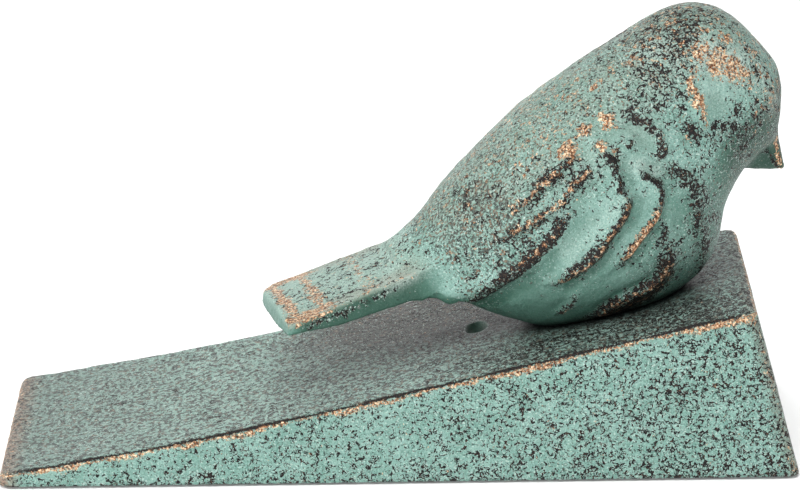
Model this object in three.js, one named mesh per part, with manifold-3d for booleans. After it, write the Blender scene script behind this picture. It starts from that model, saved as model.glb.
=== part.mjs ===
// Cast-iron wedge door stop with a songbird casting bolted to its ramp.
// Frame: millimetres, +Z up, +X from the thin toe to the tall heel, +Y across the wedge.
// The origin is the centre of the footprint on the floor.
import * as THREE from "three";
import { mergeVertices } from "three/addons/utils/BufferGeometryUtils.js";
import Module from "manifold-3d";

// ---------------------------------------------------------------- driving dimensions
const LENGTH = 140; // toe to heel at the floor
const WIDTH = 63; // across the wedge at the floor
const SIDE_DRAFT = 0.049; // mm of lean per mm of height, both long sides
const HEEL_DRAFT = 0.2567; // the heel face leans in towards the bird
const CORNER_R = 2.4; // plan radius of the four upright corners
const RAMP = [ // ramp height over the floor along X: hollow at the toe, straight from x = 0
  [-70, 2.6], [-65, 3.35], [-60, 4.15], [-55, 5.05], [-48, 6.2], [-40, 7.57], [-30, 9.55],
  [-20, 11.64], [-10, 13.76], [0, 15.96], [70, 31.7],
];
const GAP = 0.3; // play between pieces that touch
const FELT_T = 0.8; // felt sheet inside the rim
const FELT_INSET = 2.4;
const IRON_Z = 0.3; // underside of the iron's rim, just clear of the floor
const FELT_POCKET = FELT_T + GAP; // the felt lies in a shallow recess in the underside, up to here
const WALL = 5; // cored wall thickness
const RIB_X = [12, 16.5]; // one cross rib
const POCKET_X0 = -30; // the core starts here, where the ramp is thick enough
const RECESS = { x: 13.8, y: 1.6, r: 1.8, depth: 1.1 }; // small round dimple cast in the ramp

// fixing, square to the straight part of the ramp
const SLOPE = Math.atan2(31.7 - 15.96, 70);
const SCREW_X = 36;
const PIN_DX = 10.5; // dowel, up the ramp from the screw
const BOSS_T = 9.2; // ramp surface to boss face
const BOSS_R = 8;
const SCREW_R = 3, CLEAR_R = 3.3, HEAD_R = 5.9, HEAD_H = 3.9, SCREW_IN = 11.5;
const WASHER = { ri: 3.3, ro: 6.2, t: 1.6 };
const SPRING = { ri: 3.3, ro: 5.7, t: 1.5 };
const PIN_R = 2, PIN_DOWN = 6, PIN_UP = 5.5;

// bird: a body swept along a straight axis, a flat tail blade and a short cone beak
const YAW = THREE.MathUtils.degToRad(12); // the bird is turned on the wedge
const PIVOT = new THREE.Vector2(38, 0);
const AXIS = THREE.MathUtils.degToRad(32.4); // body axis over the horizontal
const ROOT = [-30.97, 33.38]; // tail root on the body axis, bird frame x and z
const U0 = -6, U1 = 69.3; // body starts and ends along the axis, from the root
// rows run from the forehead (u = U1) to the tail root (u = U0), evenly in sqrt((U1-u)/(U1-U0)):
// back line, belly line, level of greatest width, half width
const PROFILE = [
  [-4.6, -4.6, -4.6, 0], [-1.74, -5.74, -4.49, 2.39], [1.97, -7.09, -4.33, 4.74], [6.0, -8.9, -4.1, 7.0],
  [8.85, -10.76, -3.79, 9.04], [10.89, -13.16, -3.47, 10.71], [12.55, -15.3, -3.17, 12.04], [13.7, -16.5, -3.04, 13.11],
  [14.4, -16.85, -2.98, 14.02], [14.63, -17.31, -3.14, 15.01], [14.68, -18.68, -3.9, 16.05], [14.81, -21.52, -4.81, 17.21],
  [15.02, -26.0, -5.95, 18.42], [15.04, -28.03, -6.76, 19.22], [14.96, -28.77, -7.3, 19.78], [14.61, -28.33, -7.43, 20.0],
  [13.6, -26.4, -7.0, 19.6], [12.48, -23.7, -5.9, 17.9], [11.1, -19.7, -3.9, 14.7], [8.9, -10.6, -1.6, 12.4], [7.9, 2.0, 0, 11.2],
];
const SECTION_N = 2.12; // section roundness (2 is an ellipse)
// the tail blade: half widths, heights of its top over its line, crown, heights of its underside below its
// line at places along it, and how its end face leans out below
const TAIL = {
  end: [-60.65, 26.4], pitch: THREE.MathUtils.degToRad(16.02), len: 33.9, w0: 13.42, w1: 11.36, t0: 1.5, t1: 3.15, crown: 0.8,
  under: [[0, 0.98], [9, 2.28], [22, 2.75], [25, 3.42], [27, 4.2], [31, 5.0]], lean: 0.52,
};
const BEAK = { a: [27.21, 53.91], b: [31.34, 47.13], ra: 3.64, rb: 0.99 };
const JAW = { a: [24.73, 49.7], b: [29.62, 47.35], ra: 2.69, rb: 0.92 };
// the folded wing stands proud of the flank above this line: u along the axis, angle round the body
// from the back in degrees
const WING = [[-3, 118], [8, 117], [14, 112], [22, 100], [30, 84], [38, 68], [44, 50], [48, 30]];
const WING_H = 0.7;
// the rolled lip of the wing over the tail root: u, angle from the back, radius, depth of its centre
const LIP = [[-2.0, 107, 2.15, 0.0], [1.6, 102, 2.1, 0.9], [6.5, 94, 1.8, 1.25], [11.5, 87.5, 1.5, 1.2], [17, 81, 1.3, 1.15], [22, 74, 1.0, 1.1]];
const CELL = 2.15; // facet size of the bird's surface

// ---------------------------------------------------------------- solids
const wasm = await Module();
wasm.setup();

function solid(geometry) {
  let g = geometry.index ? geometry.toNonIndexed() : geometry.clone();
  g.deleteAttribute("normal");
  g.deleteAttribute("uv");
  g = mergeVertices(g, 1e-4);
  const made = new wasm.Manifold(
    new wasm.Mesh({
      numProp: 3,
      vertProperties: new Float32Array(g.attributes.position.array),
      triVerts: new Uint32Array(g.index.array),
    }),
  );
  if (made.volume() > 0) return made;
  const t = new Uint32Array(g.index.array);
  for (let i = 0; i < t.length; i += 3) [t[i + 1], t[i + 2]] = [t[i + 2], t[i + 1]];
  return new wasm.Manifold(
    new wasm.Mesh({ numProp: 3, vertProperties: new Float32Array(g.attributes.position.array), triVerts: t }),
  );
}

function geometryOf(s) {
  const m = s.getMesh(), n = m.numProp, v = new Float32Array(m.numVert * 3);
  for (let i = 0; i < m.numVert; i++) v.set(m.vertProperties.subarray(i * n, i * n + 3), i * 3);
  const g = new THREE.BufferGeometry();
  g.setAttribute("position", new THREE.BufferAttribute(v, 3));
  g.setIndex(new THREE.BufferAttribute(new Uint32Array(m.triVerts), 1));
  g.computeVertexNormals();
  return g;
}

const rampZ = (x) => {
  for (let i = 1; i < RAMP.length; i++)
    if (x <= RAMP[i][0] || i === RAMP.length - 1) {
      const [x0, z0] = RAMP[i - 1], [x1, z1] = RAMP[i];
      return z0 + ((z1 - z0) * (x - x0)) / (x1 - x0);
    }
};

// a slab under (or over) a line in the XZ plane, running across the whole width
function slab(points, halfWidth) {
  const shape = new THREE.Shape(points.map(([x, z]) => new THREE.Vector2(x, z)));
  const g = new THREE.ExtrudeGeometry(shape, { depth: 2 * halfWidth, bevelEnabled: false });
  g.rotateX(Math.PI / 2);
  g.translate(0, halfWidth, 0);
  return solid(g);
}

// a rounded rectangle in plan
function plan(x0, x1, hy, r, n = 4) {
  const out = [];
  const corner = (cx, cy, a0) => {
    for (let i = 0; i <= n; i++) {
      const a = a0 + (i / n) * (Math.PI / 2);
      out.push([cx + r * Math.cos(a), cy + r * Math.sin(a)]);
    }
  };
  corner(x1 - r, hy - r, 0);
  corner(x0 + r, hy - r, Math.PI / 2);
  corner(x0 + r, -hy + r, Math.PI);
  corner(x1 - r, -hy + r, 1.5 * Math.PI);
  return out;
}

// an upright prism whose plan changes evenly from the bottom outline to the top one
function prism(bottom, z0, top, z1) {
  const n = bottom.length, v = [], t = [];
  const mid = (p) => [p.reduce((s, q) => s + q[0], 0) / n, p.reduce((s, q) => s + q[1], 0) / n];
  bottom.forEach(([x, y]) => v.push(x, y, z0));
  top.forEach(([x, y]) => v.push(x, y, z1));
  v.push(...mid(bottom), z0, ...mid(top), z1);
  for (let i = 0; i < n; i++) {
    const j = (i + 1) % n;
    t.push(i, j, n + j, i, n + j, n + i, 2 * n, j, i, 2 * n + 1, n + i, n + j);
  }
  const g = new THREE.BufferGeometry();
  g.setAttribute("position", new THREE.BufferAttribute(new Float32Array(v), 3));
  g.setIndex(t);
  return solid(g);
}

// drafted block: the wedge's plan at height z, shrunk by inset
const blockPlan = (z, inset, x0 = -LENGTH / 2 + inset) =>
  plan(x0, LENGTH / 2 - inset - HEEL_DRAFT * z, WIDTH / 2 - inset - SIDE_DRAFT * z, Math.max(CORNER_R - inset * 0.3, 1.2));

// the felt's outline, or the recess round it
const feltPlan = (play) =>
  plan(-LENGTH / 2 + FELT_INSET + 1.2 - play, LENGTH / 2 - FELT_INSET + play, WIDTH / 2 - FELT_INSET + play, 3 + play, 5);

// placed on the ramp: local z runs square to the ramp, local origin on its surface at x
function onRamp(g, x, y = 0) {
  g.rotateX(Math.PI / 2); // a three.js cylinder runs along Y: stand it along Z
  g.rotateY(-SLOPE);
  g.translate(x, y, rampZ(x));
  return g;
}
function rod(r, from, to, x, y = 0, sides = 28, chamfer = 0) {
  const p = [[0, from], [r - chamfer, from], [r, from + chamfer], [r, to - chamfer], [r - chamfer, to], [0, to]]
    .filter((q, i, a) => i === 0 || Math.hypot(q[0] - a[i - 1][0], q[1] - a[i - 1][1]) > 1e-6)
    .map(([a, b]) => new THREE.Vector2(a, b));
  return onRamp(new THREE.LatheGeometry(p, sides), x, y);
}

// ---------------------------------------------------------------- wedge
function makeWedge() {
  const outer = prism(blockPlan(0, 0), 0, blockPlan(40, 0), 40);
  const under = slab([[-90, IRON_Z], [90, IRON_Z], [90, rampZ(90)], ...RAMP.slice(0, -1).reverse(), [-90, rampZ(-70)]], 60);
  let wedge = outer.intersect(under);
  // the core: open underneath, a wall's thickness below the ramp
  const floorLine = [];
  for (const x of [POCKET_X0, -20, -10, 0, 70]) floorLine.push([x, rampZ(x) - WALL]);
  const coreBlock = prism(blockPlan(0, WALL, POCKET_X0), -1, blockPlan(40, WALL, POCKET_X0), 40);
  let core = coreBlock.intersect(slab([[POCKET_X0, -1], [70, -1], ...floorLine.reverse()], 60));
  core = core.subtract(slab([[RIB_X[0], -2], [RIB_X[1], -2], [RIB_X[1], 40], [RIB_X[0], 40]], 60));
  wedge = wedge.subtract(core);
  wedge = wedge.subtract(prism(feltPlan(GAP), -1, feltPlan(GAP), FELT_POCKET));
  // the fixing boss: a rounded pad hanging from the top wall
  const d = PIN_DX, r = BOSS_R;
  const s = new THREE.Shape();
  s.absarc(0, 0, r, Math.PI / 2, 1.5 * Math.PI, false);
  s.absarc(d, 0, r * 0.75, -Math.PI / 2, Math.PI / 2, false);
  const pad = new THREE.ExtrudeGeometry(s, { depth: BOSS_T - 2, bevelEnabled: false, curveSegments: 12 });
  pad.translate(0, 0, -BOSS_T);
  pad.rotateY(-SLOPE);
  pad.translate(SCREW_X, 0, rampZ(SCREW_X));
  wedge = wedge.add(solid(pad));
  wedge = wedge.subtract(solid(rod(CLEAR_R, -30, 5, SCREW_X)));
  wedge = wedge.subtract(solid(rod(PIN_R + GAP, -PIN_DOWN - GAP, 5, SCREW_X + d * Math.cos(SLOPE))));
  wedge = wedge.subtract(solid(rod(RECESS.r, -RECESS.depth, 3, RECESS.x, RECESS.y, 20)));
  return wedge;
}

// ---------------------------------------------------------------- bird
const cr = (a, b, c, d, t) =>
  b + 0.5 * t * (c - a + t * (2 * a - 5 * b + 4 * c - d + t * (3 * (b - c) + d - a)));
function row(u) {
  const s = Math.sqrt(Math.min(Math.max((U1 - u) / (U1 - U0), 0), 1)) * (PROFILE.length - 1);
  const i = Math.min(Math.floor(s), PROFILE.length - 2), t = s - i;
  const P = (k) => PROFILE[Math.min(Math.max(k, 0), PROFILE.length - 1)];
  return [0, 1, 2, 3].map((k) => cr(P(i - 1)[k], P(i)[k], P(i + 1)[k], P(i + 2)[k], t));
}
const smin = (a, b, k) => {
  const h = Math.min(Math.max(0.5 + (0.5 * (b - a)) / k, 0), 1);
  return b * (1 - h) + a * h - k * h * (1 - h);
};
const wingEdge = (u) => {
  for (let i = 1; i < WING.length; i++)
    if (u <= WING[i][0]) return WING[i - 1][1] + ((WING[i][1] - WING[i - 1][1]) * (u - WING[i - 1][0])) / (WING[i][0] - WING[i - 1][0]);
  return WING[WING.length - 1][1];
};
const smooth = (a, b, x) => {
  const t = Math.min(Math.max((x - a) / (b - a), 0), 1);
  return t * t * (3 - 2 * t);
};
// distances are taken in the bird's own frame: x forward, y to its left, z up
function bodyDistance(x, y, z) {
  const c = Math.cos(AXIS), s = Math.sin(AXIS);
  const dx = x - ROOT[0], dz = z - ROOT[1];
  const u = dx * c + dz * s, v = -dx * s + dz * c;
  const uc = Math.min(Math.max(u, U0), U1 - 0.02);
  const [vt, vb, vw, w] = row(uc);
  const e = 0.25, A = row(Math.max(uc - e, U0)), B = row(Math.min(uc + e, U1));
  const up = v >= vw, V = Math.max(up ? vt - vw : vw - vb, 1e-3), W = Math.max(w, 1e-3);
  const a = Math.abs((v - vw) / V), b = Math.abs(y) / W;
  const q = (a ** SECTION_N + b ** SECTION_N) ** (1 / SECTION_N) + 1e-9;
  const r = Math.hypot(v - vw, y);
  const dV = up ? (B[0] - A[0]) / (2 * e) : -(B[1] - A[1]) / (2 * e), dW = (B[3] - A[3]) / (2 * e);
  const slope = (a / q) ** 2 * Math.abs(dV) + (b / q) ** 2 * Math.abs(dW);
  let d = r < 1e-6 ? -Math.min(V, W) : r * (1 - 1 / q);
  d /= Math.sqrt(1 + Math.min(slope, 6) ** 2);
  if (u > U1 - 0.02) d = Math.max(Math.hypot(u - U1, v - vw, y) * 0.6, u - U1);
  if (u < U0) d = Math.hypot(Math.max(d, 0), U0 - u);
  // the wing
  const phi = THREE.MathUtils.radToDeg(Math.atan2(b, up ? a : -a));
  const lift = smooth(4, -4, phi - wingEdge(u)) * smooth(-5, 6, u) * smooth(50, 42, u) * smooth(12, 45, phi);
  return d - WING_H * lift;
}
// the common part of two solids with its edge rounded to r
const both = (a, b, r) => Math.min(Math.max(a, b), -r) + Math.hypot(Math.max(a + r, 0), Math.max(b + r, 0));
const between = (table, u) => {
  for (let i = 1; i < table.length; i++)
    if (u <= table[i][0]) {
      const t = Math.max((u - table[i - 1][0]) / (table[i][0] - table[i - 1][0]), 0);
      return table[i - 1][1] + (table[i][1] - table[i - 1][1]) * t;
    }
  return table[table.length - 1][1];
};
function bladeDistance(x, y, z) {
  const c = Math.cos(TAIL.pitch), s = Math.sin(TAIL.pitch);
  const dx = x - TAIL.end[0], dz = z - TAIL.end[1];
  const l = dx * c + dz * s, h = -dx * s + dz * c;
  const t = Math.min(Math.max(l / TAIL.len, 0), 1);
  const w = TAIL.w0 + (TAIL.w1 - TAIL.w0) * t;
  const top = TAIL.t0 + (TAIL.t1 - TAIL.t0) * t - TAIL.crown * Math.min(Math.abs(y) / w, 1.1) ** 2;
  const bottom = -between(TAIL.under, l);
  const r = y > 0 ? 3.4 : 0.9;
  const a = r - l - TAIL.lean * (top - h), b = Math.abs(y) - (w - r);
  let d = Math.hypot(Math.max(a, 0), Math.max(b, 0)) + Math.min(Math.max(a, b), 0) - r;
  d = Math.max(d, l - TAIL.len - 1.5);
  return both(d, Math.abs(h - (top + bottom) / 2) - (top - bottom) / 2, 0.4);
}
// the wing's lower edge is a rolled lip over the tail root: a chain of balls just inside the body's surface
function bodyPoint(u, phi) {
  const [vt, vb, vw, w] = row(u), ca = Math.cos(phi), sa = Math.sin(phi);
  const q = (Math.abs(ca) ** SECTION_N + Math.abs(sa) ** SECTION_N) ** (1 / SECTION_N);
  const v = vw + (ca * (ca >= 0 ? vt - vw : vw - vb)) / q, c = Math.cos(AXIS), s = Math.sin(AXIS);
  return new THREE.Vector3(ROOT[0] + u * c - v * s, (-sa * w) / q, ROOT[1] + u * s + v * c);
}
const LIP_BALLS = LIP.map(([u, deg, r, deep]) => {
  const k = THREE.MathUtils.degToRad(deg), p = bodyPoint(u, k);
  const n = bodyPoint(u + 0.1, k).sub(p).cross(bodyPoint(u, k + 0.0087).sub(p)).normalize();
  return { p: p.addScaledVector(n, n.y < 0 ? -deep : deep), r };
});
function lipDistance(x, y, z) {
  const P = new THREE.Vector3(x, -Math.abs(y), z);
  let out = 1e9;
  for (let i = 1; i < LIP_BALLS.length; i++) {
    const A = LIP_BALLS[i - 1], B = LIP_BALLS[i], e = B.p.clone().sub(A.p), q = P.clone().sub(A.p);
    const t = Math.min(Math.max(q.dot(e) / e.lengthSq(), 0), 1);
    out = Math.min(out, q.addScaledVector(e, -t).length() - A.r - (B.r - A.r) * t);
  }
  return out;
}
function coneDistance(c, x, y, z) {
  const ax = c.b[0] - c.a[0], az = c.b[1] - c.a[1], dx = x - c.a[0], dz = z - c.a[1];
  const t = Math.min(Math.max((dx * ax + dz * az) / (ax * ax + az * az), 0), 1);
  return Math.hypot(dx - t * ax, y, dz - t * az) - (c.ra + (c.rb - c.ra) * t);
}
function birdDistance(X, Y, Z) {
  const c = Math.cos(YAW), s = Math.sin(YAW), px = X - PIVOT.x, py = Y - PIVOT.y;
  const x = px * c + py * s, y = -px * s + py * c;
  let d = smin(bodyDistance(x, y, Z), bladeDistance(x, y, Z), 2.5);
  d = smin(d, lipDistance(x, y, Z), 0.9);
  const k = smin(coneDistance(BEAK, x, y, Z), coneDistance(JAW, x, y, Z), 0.8);
  return smin(d, k, 2);
}

// the closed surface where the distance is zero: one vertex in each grid cell that the surface crosses,
// pulled onto it, and one quad for each grid edge that it crosses
function skin(f, lo, hi, h) {
  const n = lo.map((a, k) => Math.ceil((hi[k] - a) / h) + 1);
  const at = (i, j, k) => i + n[0] * (j + n[1] * k);
  const F = new Float64Array(n[0] * n[1] * n[2]);
  for (let k = 0; k < n[2]; k++)
    for (let j = 0; j < n[1]; j++)
      for (let i = 0; i < n[0]; i++) F[at(i, j, k)] = f(lo[0] + i * h, lo[1] + j * h, lo[2] + k * h) || 1e-9;
  const id = new Map(), pos = [];
  const edges = [];
  for (let c = 0; c < 8; c++) for (let b = 0; b < 3; b++) if (!(c & (1 << b))) edges.push([c, c | (1 << b)]);
  for (let k = 0; k < n[2] - 1; k++)
    for (let j = 0; j < n[1] - 1; j++)
      for (let i = 0; i < n[0] - 1; i++) {
        const v = [];
        for (let c = 0; c < 8; c++) v.push(F[at(i + (c & 1), j + ((c >> 1) & 1), k + ((c >> 2) & 1))]);
        const inside = v.filter((q) => q < 0).length;
        if (inside === 0 || inside === 8) continue;
        let m = 0, p = [0, 0, 0];
        for (const [a, b] of edges)
          if (v[a] < 0 !== v[b] < 0) {
            const t = v[a] / (v[a] - v[b]);
            for (let q = 0; q < 3; q++) p[q] += ((a >> q) & 1) + t * (((b >> q) & 1) - ((a >> q) & 1));
            m++;
          }
        p = p.map((q) => q / m);
        const cell = [i, j, k];
        let P = p.map((q, w) => lo[w] + (cell[w] + q) * h);
        for (let it = 0; it < 3; it++) {
          const e = 0.05, d = f(...P);
          const g = [0, 1, 2].map((w) => {
            const A = [...P], B = [...P];
            A[w] -= e; B[w] += e;
            return (f(...B) - f(...A)) / (2 * e);
          });
          const gg = g.reduce((s, q) => s + q * q, 0) || 1;
          P = P.map((q, w) => q - (d * g[w]) / Math.max(gg, 0.3));
        }
        // kept inside its own cell, so that no two facets cross
        P = P.map((q, w) => Math.min(Math.max(q, lo[w] + (cell[w] + 0.04) * h), lo[w] + (cell[w] + 0.96) * h));
        id.set(at(i, j, k), pos.length / 3);
        pos.push(...P);
      }
  const tri = [];
  const quad = (a, b, c, d, flip) => {
    const q = [a, b, c, d].map((w) => id.get(w));
    const D = (m, o) => Math.hypot(...[0, 1, 2].map((w) => pos[3 * q[m] + w] - pos[3 * q[o] + w]));
    const t = D(0, 2) <= D(1, 3) ? [0, 1, 2, 0, 2, 3] : [0, 1, 3, 1, 2, 3];
    for (let w = 0; w < 6; w += 3) {
      const r = [q[t[w]], q[t[w + 1]], q[t[w + 2]]];
      tri.push(...(flip ? [r[0], r[2], r[1]] : r));
    }
  };
  for (let k = 1; k < n[2] - 1; k++)
    for (let j = 1; j < n[1] - 1; j++)
      for (let i = 1; i < n[0] - 1; i++) {
        const a = F[at(i, j, k)] < 0;
        if (a !== F[at(i + 1, j, k)] < 0) quad(at(i, j - 1, k - 1), at(i, j, k - 1), at(i, j, k), at(i, j - 1, k), !a);
        if (a !== F[at(i, j + 1, k)] < 0) quad(at(i - 1, j, k - 1), at(i - 1, j, k), at(i, j, k), at(i, j, k - 1), !a);
        if (a !== F[at(i, j, k + 1)] < 0) quad(at(i - 1, j - 1, k), at(i, j - 1, k), at(i, j, k), at(i - 1, j, k), !a);
      }
  const g = new THREE.BufferGeometry();
  g.setAttribute("position", new THREE.BufferAttribute(new Float32Array(pos), 3));
  g.setIndex(tri);
  return g;
}

function makeBird() {
  let bird = solid(skin(birdDistance, [-31.4, -37, 14.3], [76, 33, 88], CELL));
  // seated on the ramp with a flat foot
  const seat = [[-90, -20], [110, -20], [110, rampZ(110) + GAP], [0, rampZ(0) + GAP], [-90, rampZ(-70) + GAP]];
  bird = bird.subtract(slab(seat, 80));
  bird = bird.subtract(solid(rod(CLEAR_R, -3, SCREW_IN + 1, SCREW_X)));
  bird = bird.subtract(solid(rod(PIN_R + GAP, -3, PIN_UP + GAP, SCREW_X + PIN_DX * Math.cos(SLOPE))));
  return bird;
}

// ---------------------------------------------------------------- fasteners and felt
let down = -BOSS_T - GAP; // stack below the boss face
const ring = (w, top) => {
  const c = 0.15;
  const p = [[w.ri, top - w.t], [w.ro - c, top - w.t], [w.ro, top - w.t + c], [w.ro, top - c], [w.ro - c, top], [w.ri, top], [w.ri, top - w.t]];
  return onRamp(new THREE.LatheGeometry(p.map(([a, b]) => new THREE.Vector2(a, b)), 28), SCREW_X);
};
const flatWasher = solid(ring(WASHER, down));
down -= WASHER.t + GAP;
// split lock washer: a ring with one slanting cut
const splitCut = new THREE.BoxGeometry(6, 0.8, 6);
splitCut.rotateX(0.5);
splitCut.translate(5, 0, down - SPRING.t / 2);
splitCut.rotateZ(2.2);
splitCut.rotateY(-SLOPE);
splitCut.translate(SCREW_X, 0, rampZ(SCREW_X));
const springWasher = solid(ring(SPRING, down)).subtract(solid(splitCut));
down -= SPRING.t + GAP;
const headTop = down, headEnd = down - HEAD_H;
const screwProfile = [
  [0, headEnd], [HEAD_R * 0.55, headEnd + 0.1], [HEAD_R * 0.86, headEnd + 0.75], [HEAD_R * 0.985, headEnd + 1.8], [HEAD_R, headEnd + 2.6],
  [HEAD_R, headTop], [SCREW_R, headTop], [SCREW_R, -1],
];
for (let z = -1, k = 0; z < SCREW_IN - 1.4; z += 0.5, k++) screwProfile.push([k % 2 ? SCREW_R - 0.45 : SCREW_R, z + 0.5]); // thread grooves
screwProfile.push([SCREW_R - 0.9, SCREW_IN], [0, SCREW_IN]);
let screw = solid(onRamp(new THREE.LatheGeometry(screwProfile.map(([a, b]) => new THREE.Vector2(a, b)), 18), SCREW_X));
for (const turn of [0, Math.PI / 2]) { // cross recess
  const slot = new THREE.BoxGeometry(6.4, 1.3, 4.4);
  slot.rotateZ(turn + Math.PI / 4);
  slot.translate(0, 0, headEnd);
  slot.rotateY(-SLOPE);
  slot.translate(SCREW_X, 0, rampZ(SCREW_X));
  screw = screw.subtract(solid(slot));
}
const dowel = solid(rod(PIN_R, -PIN_DOWN, PIN_UP, SCREW_X + PIN_DX * Math.cos(SLOPE), 0, 24, 0.5));

const feltShape = new THREE.Shape(feltPlan(0).map(([x, y]) => new THREE.Vector2(x, y)));
const felt = solid(new THREE.ExtrudeGeometry(feltShape, { depth: FELT_T, bevelEnabled: false }));

// ---------------------------------------------------------------- assembly
const stop = new THREE.Group();
function piece(name, s, color, roughness, metalness) {
  const mesh = new THREE.Mesh(geometryOf(s), new THREE.MeshStandardMaterial({ color, roughness, metalness }));
  mesh.name = name;
  mesh.position.x = (HEEL_DRAFT * IRON_Z) / 2; // the iron's own footprint is centred on the origin
  stop.add(mesh);
}
piece("wedge_base", makeWedge(), 0x7ba394, 0.5, 0.3);
piece("bird_casting", makeBird(), 0x7ba896, 0.45, 0.3);
piece("fixing_screw", screw, 0x9a9c9c, 0.35, 1);
piece("flat_washer", flatWasher, 0xa2a4a4, 0.35, 1);
piece("spring_washer", springWasher, 0x6d6f70, 0.4, 1);
piece("dowel_pin", dowel, 0x8d8f90, 0.35, 1);
piece("felt_pad", felt, 0x2c2621, 0.95, 0);

export default stop;
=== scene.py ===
import math

import bpy
import numpy as np
from mathutils import Matrix, Vector


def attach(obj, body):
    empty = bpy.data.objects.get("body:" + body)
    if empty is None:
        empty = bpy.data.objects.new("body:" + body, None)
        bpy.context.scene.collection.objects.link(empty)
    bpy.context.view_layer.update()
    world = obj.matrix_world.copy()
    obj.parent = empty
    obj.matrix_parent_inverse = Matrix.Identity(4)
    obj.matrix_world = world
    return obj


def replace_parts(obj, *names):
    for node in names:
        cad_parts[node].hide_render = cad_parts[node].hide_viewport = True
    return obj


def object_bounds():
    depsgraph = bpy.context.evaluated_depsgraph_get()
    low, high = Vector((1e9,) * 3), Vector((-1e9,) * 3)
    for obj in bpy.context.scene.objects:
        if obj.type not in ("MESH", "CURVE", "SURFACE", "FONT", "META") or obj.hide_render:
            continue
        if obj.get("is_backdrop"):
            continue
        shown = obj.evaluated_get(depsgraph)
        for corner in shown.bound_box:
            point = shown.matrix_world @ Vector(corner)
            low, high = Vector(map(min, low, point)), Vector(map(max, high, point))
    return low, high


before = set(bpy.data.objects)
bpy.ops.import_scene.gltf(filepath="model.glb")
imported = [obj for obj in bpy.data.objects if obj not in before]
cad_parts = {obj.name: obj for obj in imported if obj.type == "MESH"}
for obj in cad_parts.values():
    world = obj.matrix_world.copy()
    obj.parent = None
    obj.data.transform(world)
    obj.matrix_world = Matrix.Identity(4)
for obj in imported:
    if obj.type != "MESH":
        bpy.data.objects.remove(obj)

CAD_LO, CAD_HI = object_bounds()
MM = 0.001

# ------------------------------------------------------------------ shape of the wedge, in millimetres
LENGTH, WIDTH = 140.0, 63.0
SIDE_DRAFT, HEEL_DRAFT = 0.049, 0.2567
CORNER_R = 2.4
RAMP = np.array([
    [-70, 2.6], [-65, 3.35], [-60, 4.15], [-55, 5.05], [-48, 6.2], [-40, 7.57], [-30, 9.55],
    [-20, 11.64], [-10, 13.76], [0, 15.96], [70, 31.7]])
IRON_Z = 0.3
FELT_TOP = 1.1
FELT_INSET = 2.4
WALL = 5.0
RIB_X = (12.0, 16.5)
POCKET_X0 = -30.0
RECESS = dict(x=13.8, y=1.6)
SLOPE = math.atan2(31.7 - 15.96, 70)
SCREW_X, PIN_DX, BOSS_T, BOSS_R = 36.0, 10.5, 9.2, 8.0
CLEAR_R, PIN_R = 3.3, 2.3
SHIFT = HEEL_DRAFT * IRON_Z / 2

# ------------------------------------------------------------------ shape of the bird, in millimetres
YAW = math.radians(12.0)
PIVOT = (38.0, 0.0)
AXIS = math.radians(32.4)
ROOT = (-30.97, 33.38)
U0, U1 = -6.0, 69.3
# rows from the forehead to the tail root: back line, belly line, level of greatest width, half width
PROFILE = np.array([
    [-4.6, -4.6, -4.6, 0], [-1.74, -5.74, -4.49, 2.39], [1.97, -7.09, -4.33, 4.74], [6.0, -8.9, -4.1, 7.0],
    [8.85, -10.76, -3.79, 9.04], [10.89, -13.16, -3.47, 10.71], [12.55, -15.3, -3.17, 12.04], [13.7, -16.5, -3.04, 13.11],
    [14.4, -16.85, -2.98, 14.02], [14.63, -17.31, -3.14, 15.01], [14.68, -18.68, -3.9, 16.05], [14.81, -21.52, -4.81, 17.21],
    [15.02, -26.0, -5.95, 18.42], [15.04, -28.03, -6.76, 19.22], [14.96, -28.77, -7.3, 19.78], [14.61, -28.33, -7.43, 20.0],
    [13.6, -26.4, -7.0, 19.6], [12.48, -23.7, -5.9, 17.9], [11.1, -19.7, -3.9, 14.7], [8.9, -10.6, -1.6, 12.4], [7.9, 2.0, 0, 11.2]])
SECTION_N = 2.12
# the tail blade: half widths, heights of its top and bottom over its line, crown, and how its end face leans out below
TAIL = dict(end=(-60.65, 26.4), pitch=math.radians(16.02), len=33.9, w0=13.42, w1=11.36, t0=1.5, t1=3.15, crown=0.8,
            under=((0, 9, 22, 25, 27, 31), (0.98, 2.28, 2.75, 3.42, 4.2, 5.0)), lean=0.52)
BEAK = dict(a=(27.21, 53.91), b=(31.34, 47.13), ra=3.64, rb=0.99)
JAW = dict(a=(24.73, 49.7), b=(29.62, 47.35), ra=2.69, rb=0.92)


def spline(rows, n):
    "a Catmull-Rom line through the rows"
    m = len(rows)
    s = np.linspace(0, m - 1, n)
    i = np.minimum(s.astype(int), m - 2)
    t = (s - i)[:, None]
    P = lambda k: rows[np.clip(k, 0, m - 1)]
    a, b, c, d = P(i - 1), P(i), P(i + 1), P(i + 2)
    return s / (m - 1), b + 0.5 * t * (c - a + t * (2 * a - 5 * b + 4 * c - d + t * (3 * (b - c) + d - a)))


TS, TV = spline(PROFILE, 4001)


def row(u):
    s = np.sqrt(np.clip((U1 - u) / (U1 - U0), 0, 1))
    return [np.interp(s, TS, TV[:, k]) for k in range(4)]


def to_bird(X, Y, Z):
    c, s = math.cos(YAW), math.sin(YAW)
    px, py = X - PIVOT[0], Y - PIVOT[1]
    return px * c + py * s, -px * s + py * c, Z


def body_coords(x, y, z):
    "u along the body, v across it towards the back, phi round it from the back in radians"
    c, s = math.cos(AXIS), math.sin(AXIS)
    dx, dz = x - ROOT[0], z - ROOT[1]
    u, v = dx * c + dz * s, -dx * s + dz * c
    vt, vb, vw, w = row(np.clip(u, U0, U1 - 0.02))
    V = np.maximum(np.where(v >= vw, vt - vw, vw - vb), 1e-3)
    phi = np.arctan2(np.abs(y) / np.maximum(w, 1e-3), (v - vw) / V)
    return u, v, phi


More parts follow.
